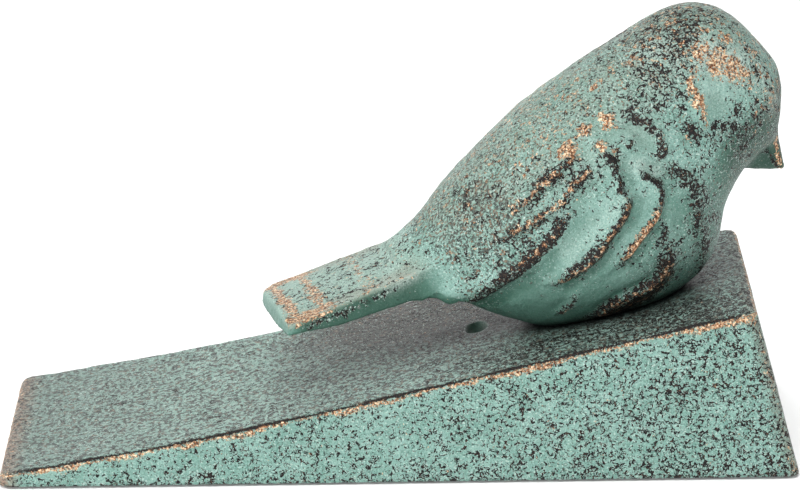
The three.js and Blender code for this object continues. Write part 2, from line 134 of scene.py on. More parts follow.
def body_point(u, phi):
    "a point of the plain body surface, on the near side, in the bird's frame"
    vt, vb, vw, w = row(np.asarray(u, float))
    ca, sa = np.cos(phi), np.sin(phi)
    q = (np.abs(ca) ** SECTION_N + np.abs(sa) ** SECTION_N) ** (1 / SECTION_N)
    V = np.where(ca >= 0, vt - vw, vw - vb)
    v, y = vw + ca * V / q, -sa * w / q
    c, s = math.cos(AXIS), math.sin(AXIS)
    return np.stack([ROOT[0] + u * c - v * s, y, ROOT[1] + u * s + v * c], -1)


def smin(a, b, k):
    h = np.clip(0.5 + 0.5 * (b - a) / k, 0, 1)
    return b * (1 - h) + a * h - k * h * (1 - h)


def both(a, b, r):
    "the common part of two solids with its edge rounded to r"
    return np.minimum(np.maximum(a, b), -r) + np.sqrt(np.maximum(a + r, 0) ** 2 + np.maximum(b + r, 0) ** 2)


def smooth(a, b, x):
    t = np.clip((x - a) / (b - a), 0, 1)
    return t * t * (3 - 2 * t)


def body_distance(x, y, z):
    c, s = math.cos(AXIS), math.sin(AXIS)
    dx, dz = x - ROOT[0], z - ROOT[1]
    u, v = dx * c + dz * s, -dx * s + dz * c
    uc = np.clip(u, U0, U1 - 0.02)
    vt, vb, vw, w = row(uc)
    e = 0.25
    A, B = row(np.maximum(uc - e, U0)), row(np.minimum(uc + e, U1))
    up = v >= vw
    V, W = np.maximum(np.where(up, vt - vw, vw - vb), 1e-3), np.maximum(w, 1e-3)
    a, b = np.abs(v - vw) / V, np.abs(y) / W
    q = (a ** SECTION_N + b ** SECTION_N) ** (1 / SECTION_N) + 1e-9
    r = np.sqrt((v - vw) ** 2 + y * y)
    dV = np.where(up, B[0] - A[0], A[1] - B[1]) / (2 * e)
    dW = (B[3] - A[3]) / (2 * e)
    slope = (a / q) ** 2 * np.abs(dV) + (b / q) ** 2 * np.abs(dW)
    d = np.where(r < 1e-6, -np.minimum(V, W), r * (1 - 1 / q))
    d = d / np.sqrt(1 + np.minimum(slope, 6.0) ** 2)
    d = np.where(u > U1 - 0.02, np.maximum(np.sqrt((u - U1) ** 2 + (v - vw) ** 2 + y * y) * 0.6, u - U1), d)
    return np.where(u < U0, np.sqrt(np.maximum(d, 0) ** 2 + (U0 - u) ** 2), d)


def blade_coords(x, z):
    c, s = math.cos(TAIL["pitch"]), math.sin(TAIL["pitch"])
    dx, dz = x - TAIL["end"][0], z - TAIL["end"][1]
    return dx * c + dz * s, -dx * s + dz * c


def blade_levels(l, y):
    "half width, top and bottom of the tail blade at a place along it and across it"
    t = np.clip(l / TAIL["len"], 0, 1)
    w = TAIL["w0"] + (TAIL["w1"] - TAIL["w0"]) * t
    top = TAIL["t0"] + (TAIL["t1"] - TAIL["t0"]) * t - TAIL["crown"] * np.minimum(np.abs(y) / w, 1.1) ** 2
    return w, top, -np.interp(l, *TAIL["under"])


def blade_distance(x, y, z):
    l, h = blade_coords(x, z)
    w, top, bottom = blade_levels(l, y)
    r = np.where(y > 0, 3.4, 0.9)
    a, b = r - l - TAIL["lean"] * (top - h), np.abs(y) - (w - r)
    d = np.sqrt(np.maximum(a, 0) ** 2 + np.maximum(b, 0) ** 2) + np.minimum(np.maximum(a, b), 0) - r
    d = np.maximum(d, l - TAIL["len"] - 1.5)
    return both(d, np.abs(h - (top + bottom) / 2) - (top - bottom) / 2, 0.4)


def cone_distance(C, x, y, z):
    ax, az = C["b"][0] - C["a"][0], C["b"][1] - C["a"][1]
    dx, dz = x - C["a"][0], z - C["a"][1]
    t = np.clip((dx * ax + dz * az) / (ax * ax + az * az), 0, 1)
    return np.sqrt((dx - t * ax) ** 2 + y * y + (dz - t * az) ** 2) - (C["ra"] + (C["rb"] - C["ra"]) * t)


RX, RZ = (lambda v: (v[:, 0], v[:, 1]))(spline(RAMP, 1201)[1])


def ramp_z(x):
    x = np.asarray(x, float)
    return np.where(x > 0, RAMP[-2, 1] + (x - RAMP[-2, 0]) * math.tan(SLOPE), np.interp(x, RX, RZ))


def on_ramp(X, Y, Z, x0):
    "height over the ramp and distance from an axis square to it at x0"
    n = (-math.sin(SLOPE), math.cos(SLOPE))
    dx, dz = X - x0, Z - ramp_z(x0)
    t = dx * n[0] + dz * n[1]
    return t, np.sqrt(np.maximum(dx * dx + dz * dz - t * t, 0) + Y * Y)


def rod(X, Y, Z, x0, r, lo, hi):
    t, q = on_ramp(X, Y, Z, x0)
    return np.maximum(q - r, np.maximum(lo - t, t - hi))


PIN_X = SCREW_X + PIN_DX * math.cos(SLOPE)


# the wing's lower edge is a rolled lip that hangs over the tail root: u, angle from the back, radius, depth of its centre
LIP = [(-2.0, 107, 2.15, 0.0), (1.6, 102, 2.1, 0.9), (6.5, 94, 1.8, 1.25), (11.5, 87.5, 1.5, 1.2), (17, 81, 1.3, 1.15), (22, 74, 1.0, 1.1)]


def lip_distance(x, y, z):
    pts = []
    for u, deg, r, deep in LIP:
        p = body_point(np.array([u, u + 0.1, u]), np.radians([deg, deg, deg + 0.5]))
        n = np.cross(p[1] - p[0], p[2] - p[0])
        n /= np.linalg.norm(n)
        n *= 1 if n[1] < 0 else -1
        pts.append((p[0] - deep * n, r))
    out = 1e9
    Y = -np.abs(y)
    for (a, ra), (b, rb) in zip(pts, pts[1:]):
        e = b - a
        t = np.clip(((x - a[0]) * e[0] + (Y - a[1]) * e[1] + (z - a[2]) * e[2]) / (e @ e), 0, 1)
        out = np.minimum(out, np.sqrt((x - a[0] - t * e[0]) ** 2 + (Y - a[1] - t * e[1]) ** 2 + (z - a[2] - t * e[2]) ** 2) - ra - (rb - ra) * t)
    return out


def bird_surface(X, Y, Z):
    x, y, z = to_bird(X, Y, Z)
    d = smin(body_distance(x, y, z), blade_distance(x, y, z), 2.5)
    d = smin(d, lip_distance(x, y, z), 0.9)
    k = smin(cone_distance(BEAK, x, y, z), cone_distance(JAW, x, y, z), 0.8)
    return smin(d, k, 2.0)


def bird_distance(X, Y, Z):
    d = bird_surface(X, Y, Z)
    seat = (ramp_z(X) + 0.05 - Z) * math.cos(SLOPE)
    d = np.maximum(d, seat)
    d = np.maximum(d, -rod(X, Y, Z, SCREW_X, CLEAR_R, -3, 12.5))
    return np.maximum(d, -rod(X, Y, Z, PIN_X, PIN_R, -3, 5.8))


def plan_distance(X, Y, Z, inset, x0=-LENGTH / 2, r=None):
    "distance in plan from the drafted block, shrunk by inset"
    r = max(CORNER_R - inset * 0.3, 1.2) if r is None else r
    a, b = x0 + (inset if x0 == -LENGTH / 2 else 0), LENGTH / 2 - inset - HEEL_DRAFT * Z
    hy = WIDTH / 2 - inset - SIDE_DRAFT * Z
    qx, qy = np.abs(X - (a + b) / 2) - ((b - a) / 2 - r), np.abs(Y) - (hy - r)
    return np.sqrt(np.maximum(qx, 0) ** 2 + np.maximum(qy, 0) ** 2) + np.minimum(np.maximum(qx, qy), 0) - r


def wedge_distance(X, Y, Z):
    g = 1 / math.sqrt(1 + math.tan(SLOPE) ** 2)
    top = (Z - ramp_z(X)) * g
    side = plan_distance(X, Y, Z, 0)
    d = both(both(top, side, 1.15), IRON_Z - Z, 0.35)
    # cored underneath, with one cross rib and a boss for the fixing
    core = both(plan_distance(X, Y, Z, WALL, POCKET_X0, 1.8), (Z - ramp_z(X) + WALL) * g, 1.6)
    mid, half = (RIB_X[0] + RIB_X[1]) / 2, (RIB_X[1] - RIB_X[0]) / 2
    core = both(core, half - np.abs(X - mid), 1.2)
    t, _ = on_ramp(X, Y, Z, SCREW_X)
    along = (X - SCREW_X) * math.cos(SLOPE) + (Z - ramp_z(SCREW_X)) * math.sin(SLOPE)
    k = np.clip(along / PIN_DX, 0, 1)
    boss = np.sqrt((along - k * PIN_DX) ** 2 + Y * Y) - (BOSS_R - 2 * k)
    boss = both(boss, -t - BOSS_T, 0.5)
    core = np.maximum(core, -smin(boss, boss + 0.4, 0.3))
    d = np.maximum(d, -core)
    pocket = np.sqrt(np.maximum(np.abs(X - 0.6) - (LENGTH / 2 - FELT_INSET - 0.6 + 0.3 - 3.3), 0) ** 2 + np.maximum(np.abs(Y) - (WIDTH / 2 - FELT_INSET + 0.3 - 3.3), 0) ** 2) - 3.3
    d = np.maximum(d, -np.maximum(pocket, Z - FELT_TOP))
    d = np.maximum(d, -rod(X, Y, Z, SCREW_X, CLEAR_R, -30, 5))
    d = np.maximum(d, -rod(X, Y, Z, PIN_X, PIN_R, -6.3, 5))
    # a small round dimple cast in the ramp
    q = np.sqrt((X - RECESS["x"] - 0.2) ** 2 + ((Y - RECESS["y"]) / 1.7) ** 2 + (Z - ramp_z(RECESS["x"]) - 0.7) ** 2)
    return -smin(-d, q - 2.15, 0.3)


# ------------------------------------------------------------------ meshing
def field(f, xs, ys, zs):
    out = np.empty((len(xs), len(ys), len(zs)), np.float32)
    for i in range(0, len(xs), 24):
        X, Y, Z = np.meshgrid(xs[i:i + 24], ys, zs, indexing="ij")
        out[i:i + 24] = f(X, Y, Z)
    out[out == 0] = 1e-6
    return out


def skin(f, xs, ys, zs):
    "the closed surface where f is zero: one vertex in each cell it crosses, drawn onto it"
    F = field(f, xs, ys, zs).astype(float)
    ins = F < 0
    n = np.zeros(tuple(k - 1 for k in F.shape), int)
    for c in range(8):
        a, b, g = c & 1, (c >> 1) & 1, (c >> 2) & 1
        n += ins[a:F.shape[0] - 1 + a, b:F.shape[1] - 1 + b, g:F.shape[2] - 1 + g]
    act = (n > 0) & (n < 8)
    I, J, K = np.nonzero(act)
    idx = np.full(act.shape, -1)
    idx[act] = np.arange(len(I))
    val = [F[I + (c & 1), J + ((c >> 1) & 1), K + ((c >> 2) & 1)] for c in range(8)]
    pts = [np.stack([xs[I + (c & 1)], ys[J + ((c >> 1) & 1)], zs[K + ((c >> 2) & 1)]], -1) for c in range(8)]
    acc, cnt = np.zeros((len(I), 3)), np.zeros(len(I))
    for a in range(8):
        for bit in (1, 2, 4):
            if a & bit:
                continue
            b = a | bit
            m = (val[a] < 0) != (val[b] < 0)
            t = np.where(m, val[a] / np.where(m, val[a] - val[b], 1), 0)[:, None]
            acc += m[:, None] * (pts[a] + t * (pts[b] - pts[a]))
            cnt += m
    P = acc / cnt[:, None]
    lo, hi = pts[0], pts[7]
    pad = 0.04 * (hi - lo)
    for _ in range(4):
        d, g = gradient(f, P)
        P = P - d[:, None] * g / np.maximum((g * g).sum(1), 0.3)[:, None]
        P = np.clip(P, lo + pad, hi - pad)
    quads = []

    def add(m, a, b, c, d, low):
        q = np.stack([a[m], b[m], c[m], d[m]], -1)
        quads.append(np.where(low[m][:, None], q, q[:, ::-1]))

    m = ins[:-1, 1:-1, 1:-1] != ins[1:, 1:-1, 1:-1]
    add(m, idx[:, :-1, :-1], idx[:, 1:, :-1], idx[:, 1:, 1:], idx[:, :-1, 1:], ins[:-1, 1:-1, 1:-1])
    m = ins[1:-1, :-1, 1:-1] != ins[1:-1, 1:, 1:-1]
    add(m, idx[:-1, :, :-1], idx[:-1, :, 1:], idx[1:, :, 1:], idx[1:, :, :-1], ins[1:-1, :-1, 1:-1])
    m = ins[1:-1, 1:-1, :-1] != ins[1:-1, 1:-1, 1:]
    add(m, idx[:-1, :-1, :], idx[1:, :-1, :], idx[1:, 1:, :], idx[:-1, 1:, :], ins[1:-1, 1:-1, :-1])
    Q = np.concatenate(quads)
    D = lambda a, b: ((P[Q[:, a]] - P[Q[:, b]]) ** 2).sum(1)
    s = (D(0, 2) <= D(1, 3))[:, None]
    T = np.concatenate([np.where(s, Q[:, [0, 1, 2]], Q[:, [0, 1, 3]]), np.where(s, Q[:, [0, 2, 3]], Q[:, [1, 2, 3]])])
    return P, T


def gradient(f, P, e=0.05):
    d = f(P[:, 0], P[:, 1], P[:, 2])
    g = np.empty_like(P)
    for k in range(3):
        A, B = P.copy(), P.copy()
        A[:, k] -= e
        B[:, k] += e
        g[:, k] = (f(B[:, 0], B[:, 1], B[:, 2]) - f(A[:, 0], A[:, 1], A[:, 2])) / (2 * e)
    return d, g


def unit(g):
    return g / np.maximum(np.linalg.norm(g, axis=1), 1e-9)[:, None]


def lattice(P, freq, seed):
    "smooth noise from -1 to 1 on a seeded lattice"
    Q = P * freq + 1000.0
    i = np.floor(Q).astype(np.int64)
    f = Q - i
    f = f * f * f * (f * (6 * f - 15) + 10)
    out = 0
    for c in range(8):
        o = np.array([c & 1, (c >> 1) & 1, (c >> 2) & 1])
        h = (i + o) * np.array([73856093, 19349663, 83492791])
        h = (h[:, 0] ^ h[:, 1] ^ h[:, 2]) + seed * 2654435761
        h = ((h ^ (h >> 15)) * 2246822519) & 0xFFFFFFFF
        h = ((h ^ (h >> 13)) * 3266489917) & 0xFFFFFFFF
        h = (h ^ (h >> 16)) & 0xFFFFFF
        w = np.where(o, f, 1 - f).prod(1)
        out = out + w * (h / 0x7FFFFF - 1)
    return out


def steps(*parts):
    "a line of grid stations: (from, to, spacing) one after another"
    out = [np.array([parts[0][0]], float)]
    for a, b, h in parts:
        n = max(1, round((b - a) / h))
        out.append(a + (b - a) * np.arange(1, n + 1) / n)
    return np.concatenate(out)


def make_mesh(name, P, T, attributes=()):
    mesh = bpy.data.meshes.new(name)
    mesh.vertices.add(len(P))
    mesh.vertices.foreach_set("co", (P * MM).astype(np.float32).ravel())
    mesh.loops.add(3 * len(T))
    mesh.loops.foreach_set("vertex_index", T.astype(np.int32).ravel())
    mesh.polygons.add(len(T))
    mesh.polygons.foreach_set("loop_start", np.arange(0, 3 * len(T), 3, dtype=np.int32))
    mesh.polygons.foreach_set("use_smooth", np.ones(len(T), bool))
    mesh.update(calc_edges=True)
    mesh.validate()
    for key, v in dict(attributes).items():
        mesh.attributes.new(key, "FLOAT", "POINT").data.foreach_set("value", np.asarray(v, np.float32))
    obj = bpy.data.objects.new(name, mesh)
    bpy.context.scene.collection.objects.link(obj)
    return obj


# ------------------------------------------------------------------ the bird's modelling: folded wing, feather folds, face
# lines on the bird's flank as (u in mm, angle from the back in degrees), from the tail towards the head; the same on both sides
WING_EDGE = [(-1.6, 120), (1.2, 114), (4.0, 104.5), (6.8, 97), (9.3, 93), (11.6, 89), (14.1, 84.5), (16.7, 81), (18.6, 78), (20.4, 74), (22.7, 70)]
FOLDS = [
    # line, height, reach inwards, dip outside, paint worn to dark, copper, width of the worn band
    ([(-0.1, 106), (2.0, 101), (4.4, 97.5), (7.1, 92.5), (9.8, 88), (12.5, 82.5), (14.9, 80), (17.4, 77), (19.6, 74), (22.7, 70)], 0.3, 2.2, 0.0, 0.95, 0.5, 1.35),
    ([(13.8, 102), (15.7, 101), (17.8, 99), (20.4, 97), (22.8, 94), (24.7, 91), (26.5, 88.5), (28.6, 87), (30.4, 85.5), (31.9, 82.5), (32.4, 78)], 1.5, 2.8, 1.0, 1.0, 0.6, 1.55),
    ([(32.4, 77), (33.1, 70), (33.9, 64), (33.3, 58)], 0.8, 1.2, 0.5, 1.0, 0.3, 1.25),
    ([(16.6, 100), (18.6, 98), (20.4, 96), (22.6, 93), (24.4, 90)], 0.0, 2.0, 0.0, 1.0, 0.5, 2.3),
    ([(25.3, 104), (28.2, 101), (31.1, 98.5), (33.2, 97), (35.0, 95.5), (36.4, 93.5)], 1.4, 2.4, 0.9, 0.95, 1.0, 1.6),
    ([(36.4, 93.5), (37.8, 90), (38.3, 85), (37.4, 80), (36.6, 76)], 0.8, 1.6, 0.5, 0.9, 0.22, 1.1),
    ([(15.5, 55), (19, 54), (20.9, 52), (23.5, 52), (26.4, 51), (29.1, 52)], 0.8, 2.0, 0.45, 0.78, 0.66, 1.7),
    ([(11.1, 67), (13.5, 65), (16, 65), (19, 64.5), (21.8, 64.5), (25, 62), (28.4, 60), (30.9, 61)], 0.9, 2.0, 0.5, 0.84, 0.66, 1.55),
    ([(40.9, 50), (42.7, 60), (43.3, 69), (42.4, 77), (40.8, 76)], 0.6, 1.3, 0.3, 0.95, 0.35, 1.3),
    ([(48.5, 76), (48.7, 80), (48.6, 86)], 0.5, 1.5, 0.3, 0.95, 0.2, 1.4),
    ([(42.4, 84), (42.7, 89), (42.9, 94)], 0.55, 1.3, 0.3, 0.95, 0.3, 1.3),
    ([(53.6, 58), (53.1, 62), (52.7, 69), (52.2, 76), (51.5, 82)], 0.2, 1.6, 0.0, 0.55, 1.0, 1.2),
    ([(50.9, 87), (53.0, 94), (55.2, 103), (57.4, 114)], 0.0, 2.0, 0.0, 0.66, 0.0, 2.2),
    ([(41.6, 86), (42.8, 93), (43.2, 99), (42.4, 110), (40.6, 120), (39.4, 133), (37.6, 147), (34, 158)], 0.35, 2.2, 0.15, 0.78, 0.1, 2.3),
    ([(35.7, 103), (33.9, 107), (32.2, 108)], 0.5, 1.4, 0.3, 0.85, 0.15, 0.9),
    ([(33.5, 114), (32.2, 120), (30.4, 125), (27.7, 127), (25.1, 127), (22.2, 128), (18.9, 134), (15.9, 143)], 0.75, 2.4, 0.3, 0.95, 0.5, 2.1),
    ([(31.8, 127), (29.2, 132), (26, 135), (22.6, 137), (19.4, 141), (16.4, 150)], 0.0, 2.0, 0.0, 1.0, 0.42, 3.3),
    ([(16.3, 111), (14.6, 121), (13, 125), (11.6, 129)], 0.45, 1.4, 0.2, 0.8, 0.4, 0.9),
]
BUMPS = [(37.5, 46), (33.1, 44), (28.8, 46), (33.6, 54), (35.5, 60), (38.4, 62)]
HOLLOWS = [  # place, depth, reach
    ((40.5, 63), 0.8, 2.9), ((40, 81), 0.8, 2.6), ((31.7, 93), 0.5, 2.4), ((25, 79), 0.6, 2.8), ((38.6, 104), 0.6, 2.8),
    ((28, 86), 0.2, 2.0), ((55.6, 79), 0.55, 2.0), ((53.6, 88), 0.25, 3.0)]
COPPER_SPOTS = [  # place, strength, reach
    ((58.4, 52), 0.9, 2.6), ((59.1, 64), 0.95, 3.0), ((61.2, 72), 0.95, 3.0), ((62.3, 79), 0.75, 2.4), ((60.4, 60), 0.85, 2.8), ((58.6, 62), 0.7, 2.2), ((52.9, 66), 0.9, 1.4), ((52.5, 73), 1.0, 1.5),
    ((51.6, 81), 0.85, 1.0), ((50.9, 85), 0.6, 0.9), ((64.5, 35), 0.5, 1.5), ((65.9, 46), 0.5, 1.5), ((66.8, 57), 0.5, 1.5), ((53.5, 26), 0.6, 1.3),
    ((37.4, 46.5), 1.0, 2.1), ((33.2, 43.5), 0.95, 1.8), ((28.8, 46.5), 1.0, 2.2), ((33.8, 54.5), 0.9, 1.6), ((57.1, 19), 0.8, 1.8), ((63.5, 50), 0.75, 2.0), ((65.9, 66), 0.7, 2.0), ((33.2, 19), 0.6, 2.4), ((39.6, 26), 0.6, 2.4), ((27.1, 27), 0.58, 2.2), ((21.2, 33), 0.55, 2.2), ((47.2, 26), 0.62, 2.4), ((35.5, 60), 0.5, 1.0), ((38.4, 62), 0.35, 1.0),
    ((60.8, 40), 0.6, 2.4), ((63.0, 50), 0.6, 2.2), ((56.2, 45), 0.75, 1.2), ((55.0, 60), 0.7, 1.5), ((24, 26), 0.5, 2.2), ((30, 30), 0.5, 2.4),
    ((15, 32), 0.42, 2.2), ((20, 40), 0.45, 2.0), ((8, 44), 0.4, 2.0), ((36, 24), 0.45, 2.2), ((44, 22), 0.5, 2.0), ((50, 20), 0.5, 2.2),
    ((15.5, 53), 0.7, 1.5), ((9.4, 74), 0.5, 1.2), ((7.0, 70), 0.35, 1.0), ((47.2, 82), 0.5, 1.2), ((62.4, 112), 0.35, 1.4)]
PAINTED_HIGHLIGHTS = [  # where a pale painted highlight is laid: line, strength, reach
    ([(18.5, 87), (23.4, 84), (27.4, 81), (31.2, 79)], 0.28, 2.0), ([(37.6, 73), (39.5, 81)], 0.6, 1.8), ([(40.5, 60), (41.5, 66)], 0.3, 2.4),
    ([(58.4, 55), (60.4, 62), (62.3, 70)], 1.0, 3.8), ([(50.3, 21), (51.9, 37), (54.2, 48)], 0.45, 3.0), ([(64.5, 73), (64.4, 94), (64.1, 115)], 0.6, 2.8),
    ([(55.6, 72), (56.4, 82)], 0.35, 2.4), ([(3, 80), (9, 62)], 0.12, 4.0)]
# how worn the paint is: place, dark marks, fine specks, copper flecks
ZONES = [
    ((10.8, 35), 0.42, 0.85, 0.30), ((12.4, 59), 0.46, 0.85, 0.26), ((5.2, 53), 0.30, 0.80, 0.22), ((3.7, 13), 0.30, 0.75, 0.34),
    ((14, 10), 0.32, 0.7, 0.36), ((25.6, 7), 0.26, 0.6, 0.42), ((34, 7), 0.26, 0.6, 0.40), ((41, 6), 0.36, 0.62, 0.30), ((27.4, 33), 0.24, 0.6, 0.44),
    ((39, 33), 0.34, 0.6, 0.34), ((57.4, 24), 0.60, 0.6, 0.36), ((55.3, 38), 0.88, 0.55, 0.3), ((53.3, 42), 0.68, 0.5, 0.32), ((56.9, 43), 0.66, 0.5, 0.36), ((53.3, 41), 0.62, 0.5, 0.32),
    ((45.1, 53), 0.60, 0.55, 0.24), ((50, 63), 0.62, 0.5, 0.24), ((51.9, 4), 0.5, 0.7, 0.36), ((59.4, 55), 0.36, 0.4, 0.5), ((61.2, 70), 0.36, 0.4, 0.5),
    ((62.5, 15), 0.5, 0.6, 0.42), ((66.5, 77), 0.44, 0.45, 0.44), ((64.7, 109), 0.46, 0.45, 0.42), ((60.1, 105), 0.60, 0.5, 0.3), ((58.8, 98), 0.56, 0.5, 0.2), ((59.6, 86), 0.34, 0.4, 0.2), ((55.5, 105), 0.58, 0.5, 0.1), ((62, 92), 0.42, 0.4, 0.36), ((55.6, 76), 0.08, 0.2, 0.02), ((56.6, 83), 0.08, 0.2, 0.02), ((54.6, 84), 0.10, 0.2, 0.02),
    ((52.6, 104), 0.5, 0.5, 0.02), ((51.8, 112), 0.2, 0.35, 0.0), ((47.5, 111), 0.22, 0.35, 0.0), ((46.1, 86), 0.30, 0.4, 0.04), ((42, 92), 0.26, 0.35, 0.04),
    ((45.1, 121), 0.46, 0.45, 0.05), ((41.7, 136), 0.46, 0.45, 0.06), ((40.1, 64), 0.12, 0.15, 0.0), ((31.7, 94), 0.08, 0.1, 0.0), ((25.6, 79), 0.14, 0.15, 0.0),
    ((38.4, 103), 0.10, 0.12, 0.0), ((8, 114), 0.0, 0.02, 0.0), ((12.1, 132), 0.02, 0.03, 0.0), ((22.2, 114), 0.06, 0.08, 0.0), ((27.3, 57), 0.42, 0.4, 0.15),
    ((22.4, 59), 0.44, 0.45, 0.18), ((14, 70), 0.46, 0.6, 0.2), ((9.2, 73), 0.46, 0.7, 0.2), ((18, 88), 0.16, 0.2, 0.0), ((30, 70), 0.34, 0.35, 0.1),
    ((36.5, 110), 0.46, 0.4, 0.0), ((30, 112), 0.40, 0.4, 0.02), ((25, 122), 0.34, 0.3, 0.05), ((28, 140), 0.30, 0.25, 0.04), ((40, 165), 0.45, 0.4, 0.04),
    ((36, 118), 0.5, 0.4, 0.04), ((42, 122), 0.55, 0.5, 0.06), ((47, 100), 0.5, 0.4, 0.04), ((44, 110), 0.5, 0.45, 0.05), ((52, 150), 0.3, 0.35, 0.0), ((-3, 110), 0.05, 0.06, 0.0), ((2, 90), 0.34, 0.6, 0.12)]


def chart(u, phi):
    return np.stack([np.asarray(u, float), -np.asarray(phi, float) * 20.0], -1)


def dense(line, n=6):
    line = np.array(line, float)
    k = np.arange(0, len(line) - 1 + 1e-9, 1 / n)
    return np.stack([np.interp(k, np.arange(len(line)), line[:, 0]), np.radians(np.interp(k, np.arange(len(line)), line[:, 1]))], -1)


def along_line(B, uv, line):
    "distance of each point from a line on the flank, which side it is on (over 0 is the belly side) and where along the line, 0 to 1"
    q = dense(line)
    w = body_point(q[:, 0], q[:, 1])
    c = chart(q[:, 0], q[:, 1])
    best, sgn, at = np.full(len(B), 1e9), np.zeros(len(B)), np.zeros(len(B))
    for i in range(len(w) - 1):
        a, ab = w[i], w[i + 1] - w[i]
        t = np.clip((B - a) @ ab / (ab @ ab), 0, 1)
        d = np.linalg.norm(B - a - t[:, None] * ab, axis=1)
        m = d < best
        dc, pc = c[i + 1] - c[i], uv - c[i]
        s = dc[0] * pc[:, 1] - dc[1] * pc[:, 0]
        best[m], sgn[m], at[m] = d[m], -np.sign(s[m]), (i + t[m]) / (len(w) - 1)
    return best, sgn, at


def sculpt(P, N):
    """relief in millimetres along the surface, and the paint's wear with painted shade, painted highlight and painted
    contact shadow, at points of the bird
    """
    x, y, z = to_bird(P[:, 0], P[:, 1], P[:, 2])
    u, v, phi = body_coords(x, y, z)
    deg = np.degrees(phi)
    B, uv = np.stack([x, -np.abs(y), z], -1), chart(u, phi)
    l, h = blade_coords(x, z)
    tail = smooth(29, 22, l)
    on_body = 1 - tail
    # wear by place
    zc = np.array([body_point(a[0], math.radians(a[1])) for a, *_ in ZONES])
    w = 1 / (((B[:, None, :] - zc[None]) ** 2).sum(2) + 1.5) ** 1.7
    w /= w.sum(1)[:, None]
    dark, fine, copper = (w @ np.array([q[k] for q in ZONES]) for k in (1, 2, 3))
    relief, lumps = np.zeros(len(P)), lattice(P, 0.45, 8)
    # the folded wing stands proud of the flank above its lower edge
    d, side, at = along_line(B, uv, WING_EDGE)
    s = d * side
    inside = smooth(0.55, -0.75, s)
    body = smooth(-3.4, 0.6, u) * smooth(27, 19, u) * on_body
    relief += body * (0.5 * inside * smooth(-12, -2, s) - 0.5 * smooth(0.3, 1.6, s) * smooth(5.2, 2.4, s))
    dark = np.maximum(dark, 0.9 * smooth(-4.2, -1.6, u) * smooth(23, 19, u) * on_body * np.exp(-(np.maximum(np.abs(s + 0.9) - 0.6, 0) / 0.75) ** 2))
    dark = dark * (1 - 0.8 * body * smooth(0.1, 0.9, s) * smooth(6.0, 4.0, s))
    # feather folds: a crest, gentle inside and steep on the belly side
    for line, up, reach, dip, worn, cop, wide in FOLDS:
        d, side, at = along_line(B, uv, line)
        near = d < 9
        s = d * side
        ends = smooth(0, 0.14, at) * smooth(1, 0.88, at) * 0.75 + 0.25
        crest = np.where(s < 0, np.exp(-(d / reach) ** 2), np.exp(-(d / 0.85) ** 2))
        trough = np.exp(-((s - 1.7) / 1.05) ** 2) * (s > 0)
        relief += np.where(near, ends * (up * crest - dip * trough), 0) * on_body * (1 + 0.35 * lumps)
        fade = 0.35 + 0.65 * ends
        band = np.exp(-(np.maximum(np.abs(s - 0.1) - 0.15 * wide, 0) / (0.62 * wide)) ** 2) * fade
        dark = np.maximum(dark, worn * band * on_body + dark * (1 - band))
        copper = np.maximum(copper, cop * np.exp(-((s + 0.1) / (0.55 * wide)) ** 2) * fade * on_body)
        fine = np.maximum(fine, 0.5 * band * on_body)
    for a, b in BUMPS:
        d = np.linalg.norm(B - body_point(a, math.radians(b)), axis=1)
        relief += 0.85 * np.exp(-(d / 1.7) ** 2)
        dark = np.maximum(dark, 0.75 * np.exp(-(d / 2.0) ** 2))
    for (a, b), deep, reach in HOLLOWS:
        d = np.linalg.norm(B - body_point(a, math.radians(b)), axis=1)
        relief -= deep * np.exp(-(d / reach) ** 2)
    for (a, b), k, reach in COPPER_SPOTS:
        d = np.linalg.norm(B - body_point(a, math.radians(b)), axis=1)
        copper = np.maximum(copper, k * np.exp(-(d / reach) ** 2))
    # face: a brow over a shallow eye, a cheek line, and a crease between the bill's two halves
    d, side, at = along_line(B, uv, [(53.6, 70), (55.4, 71.5), (57.2, 76), (58, 82)])
    relief += 0.4 * np.exp(-(d / 1.1) ** 2)
    d, side, at = along_line(B, uv, [(52.6, 64), (52.4, 72), (52.2, 77), (51.6, 82), (50.4, 88)])
    relief += 0.5 * np.exp(-(d / 1.4) ** 2)
    dark = np.maximum(dark, 0.55 * np.exp(-(d / 1.3) ** 2))
    ax, az = BEAK["b"][0] - BEAK["a"][0], BEAK["b"][1] - BEAK["a"][1]
    n = math.hypot(ax, az)
    f = ((x - BEAK["a"][0]) * ax + (z - BEAK["a"][1]) * az) / n  # along the bill
    g = ((x - BEAK["a"][0]) * -az + (z - BEAK["a"][1]) * ax) / n  # across it, over 0 towards the culmen
    near = np.minimum(cone_distance(BEAK, x, y, z), cone_distance(JAW, x, y, z))
    bill = smooth(-1.0, 2.2, f) * smooth(1.3, 0.4, near) * smooth(0.0, 0.9, body_distance(x, y, z))
    relief -= 0.34 * bill * np.exp(-((g + 1.05 - 0.06 * f) / 0.38) ** 2)
    dark = np.where(bill > 0, dark * (1 - 0.75 * bill) + bill * (0.9 * np.exp(-((g + 1.05 - 0.06 * f) / 0.42) ** 2) + 0.45 * np.exp(-((g - 1.9) / 0.5) ** 2)), dark)
    copper = np.maximum(copper * (1 - bill), bill * 0.8 * np.exp(-((g - 2.4 + 0.3 * f) / 0.8) ** 2))
    fine = fine * (1 - 0.7 * bill)
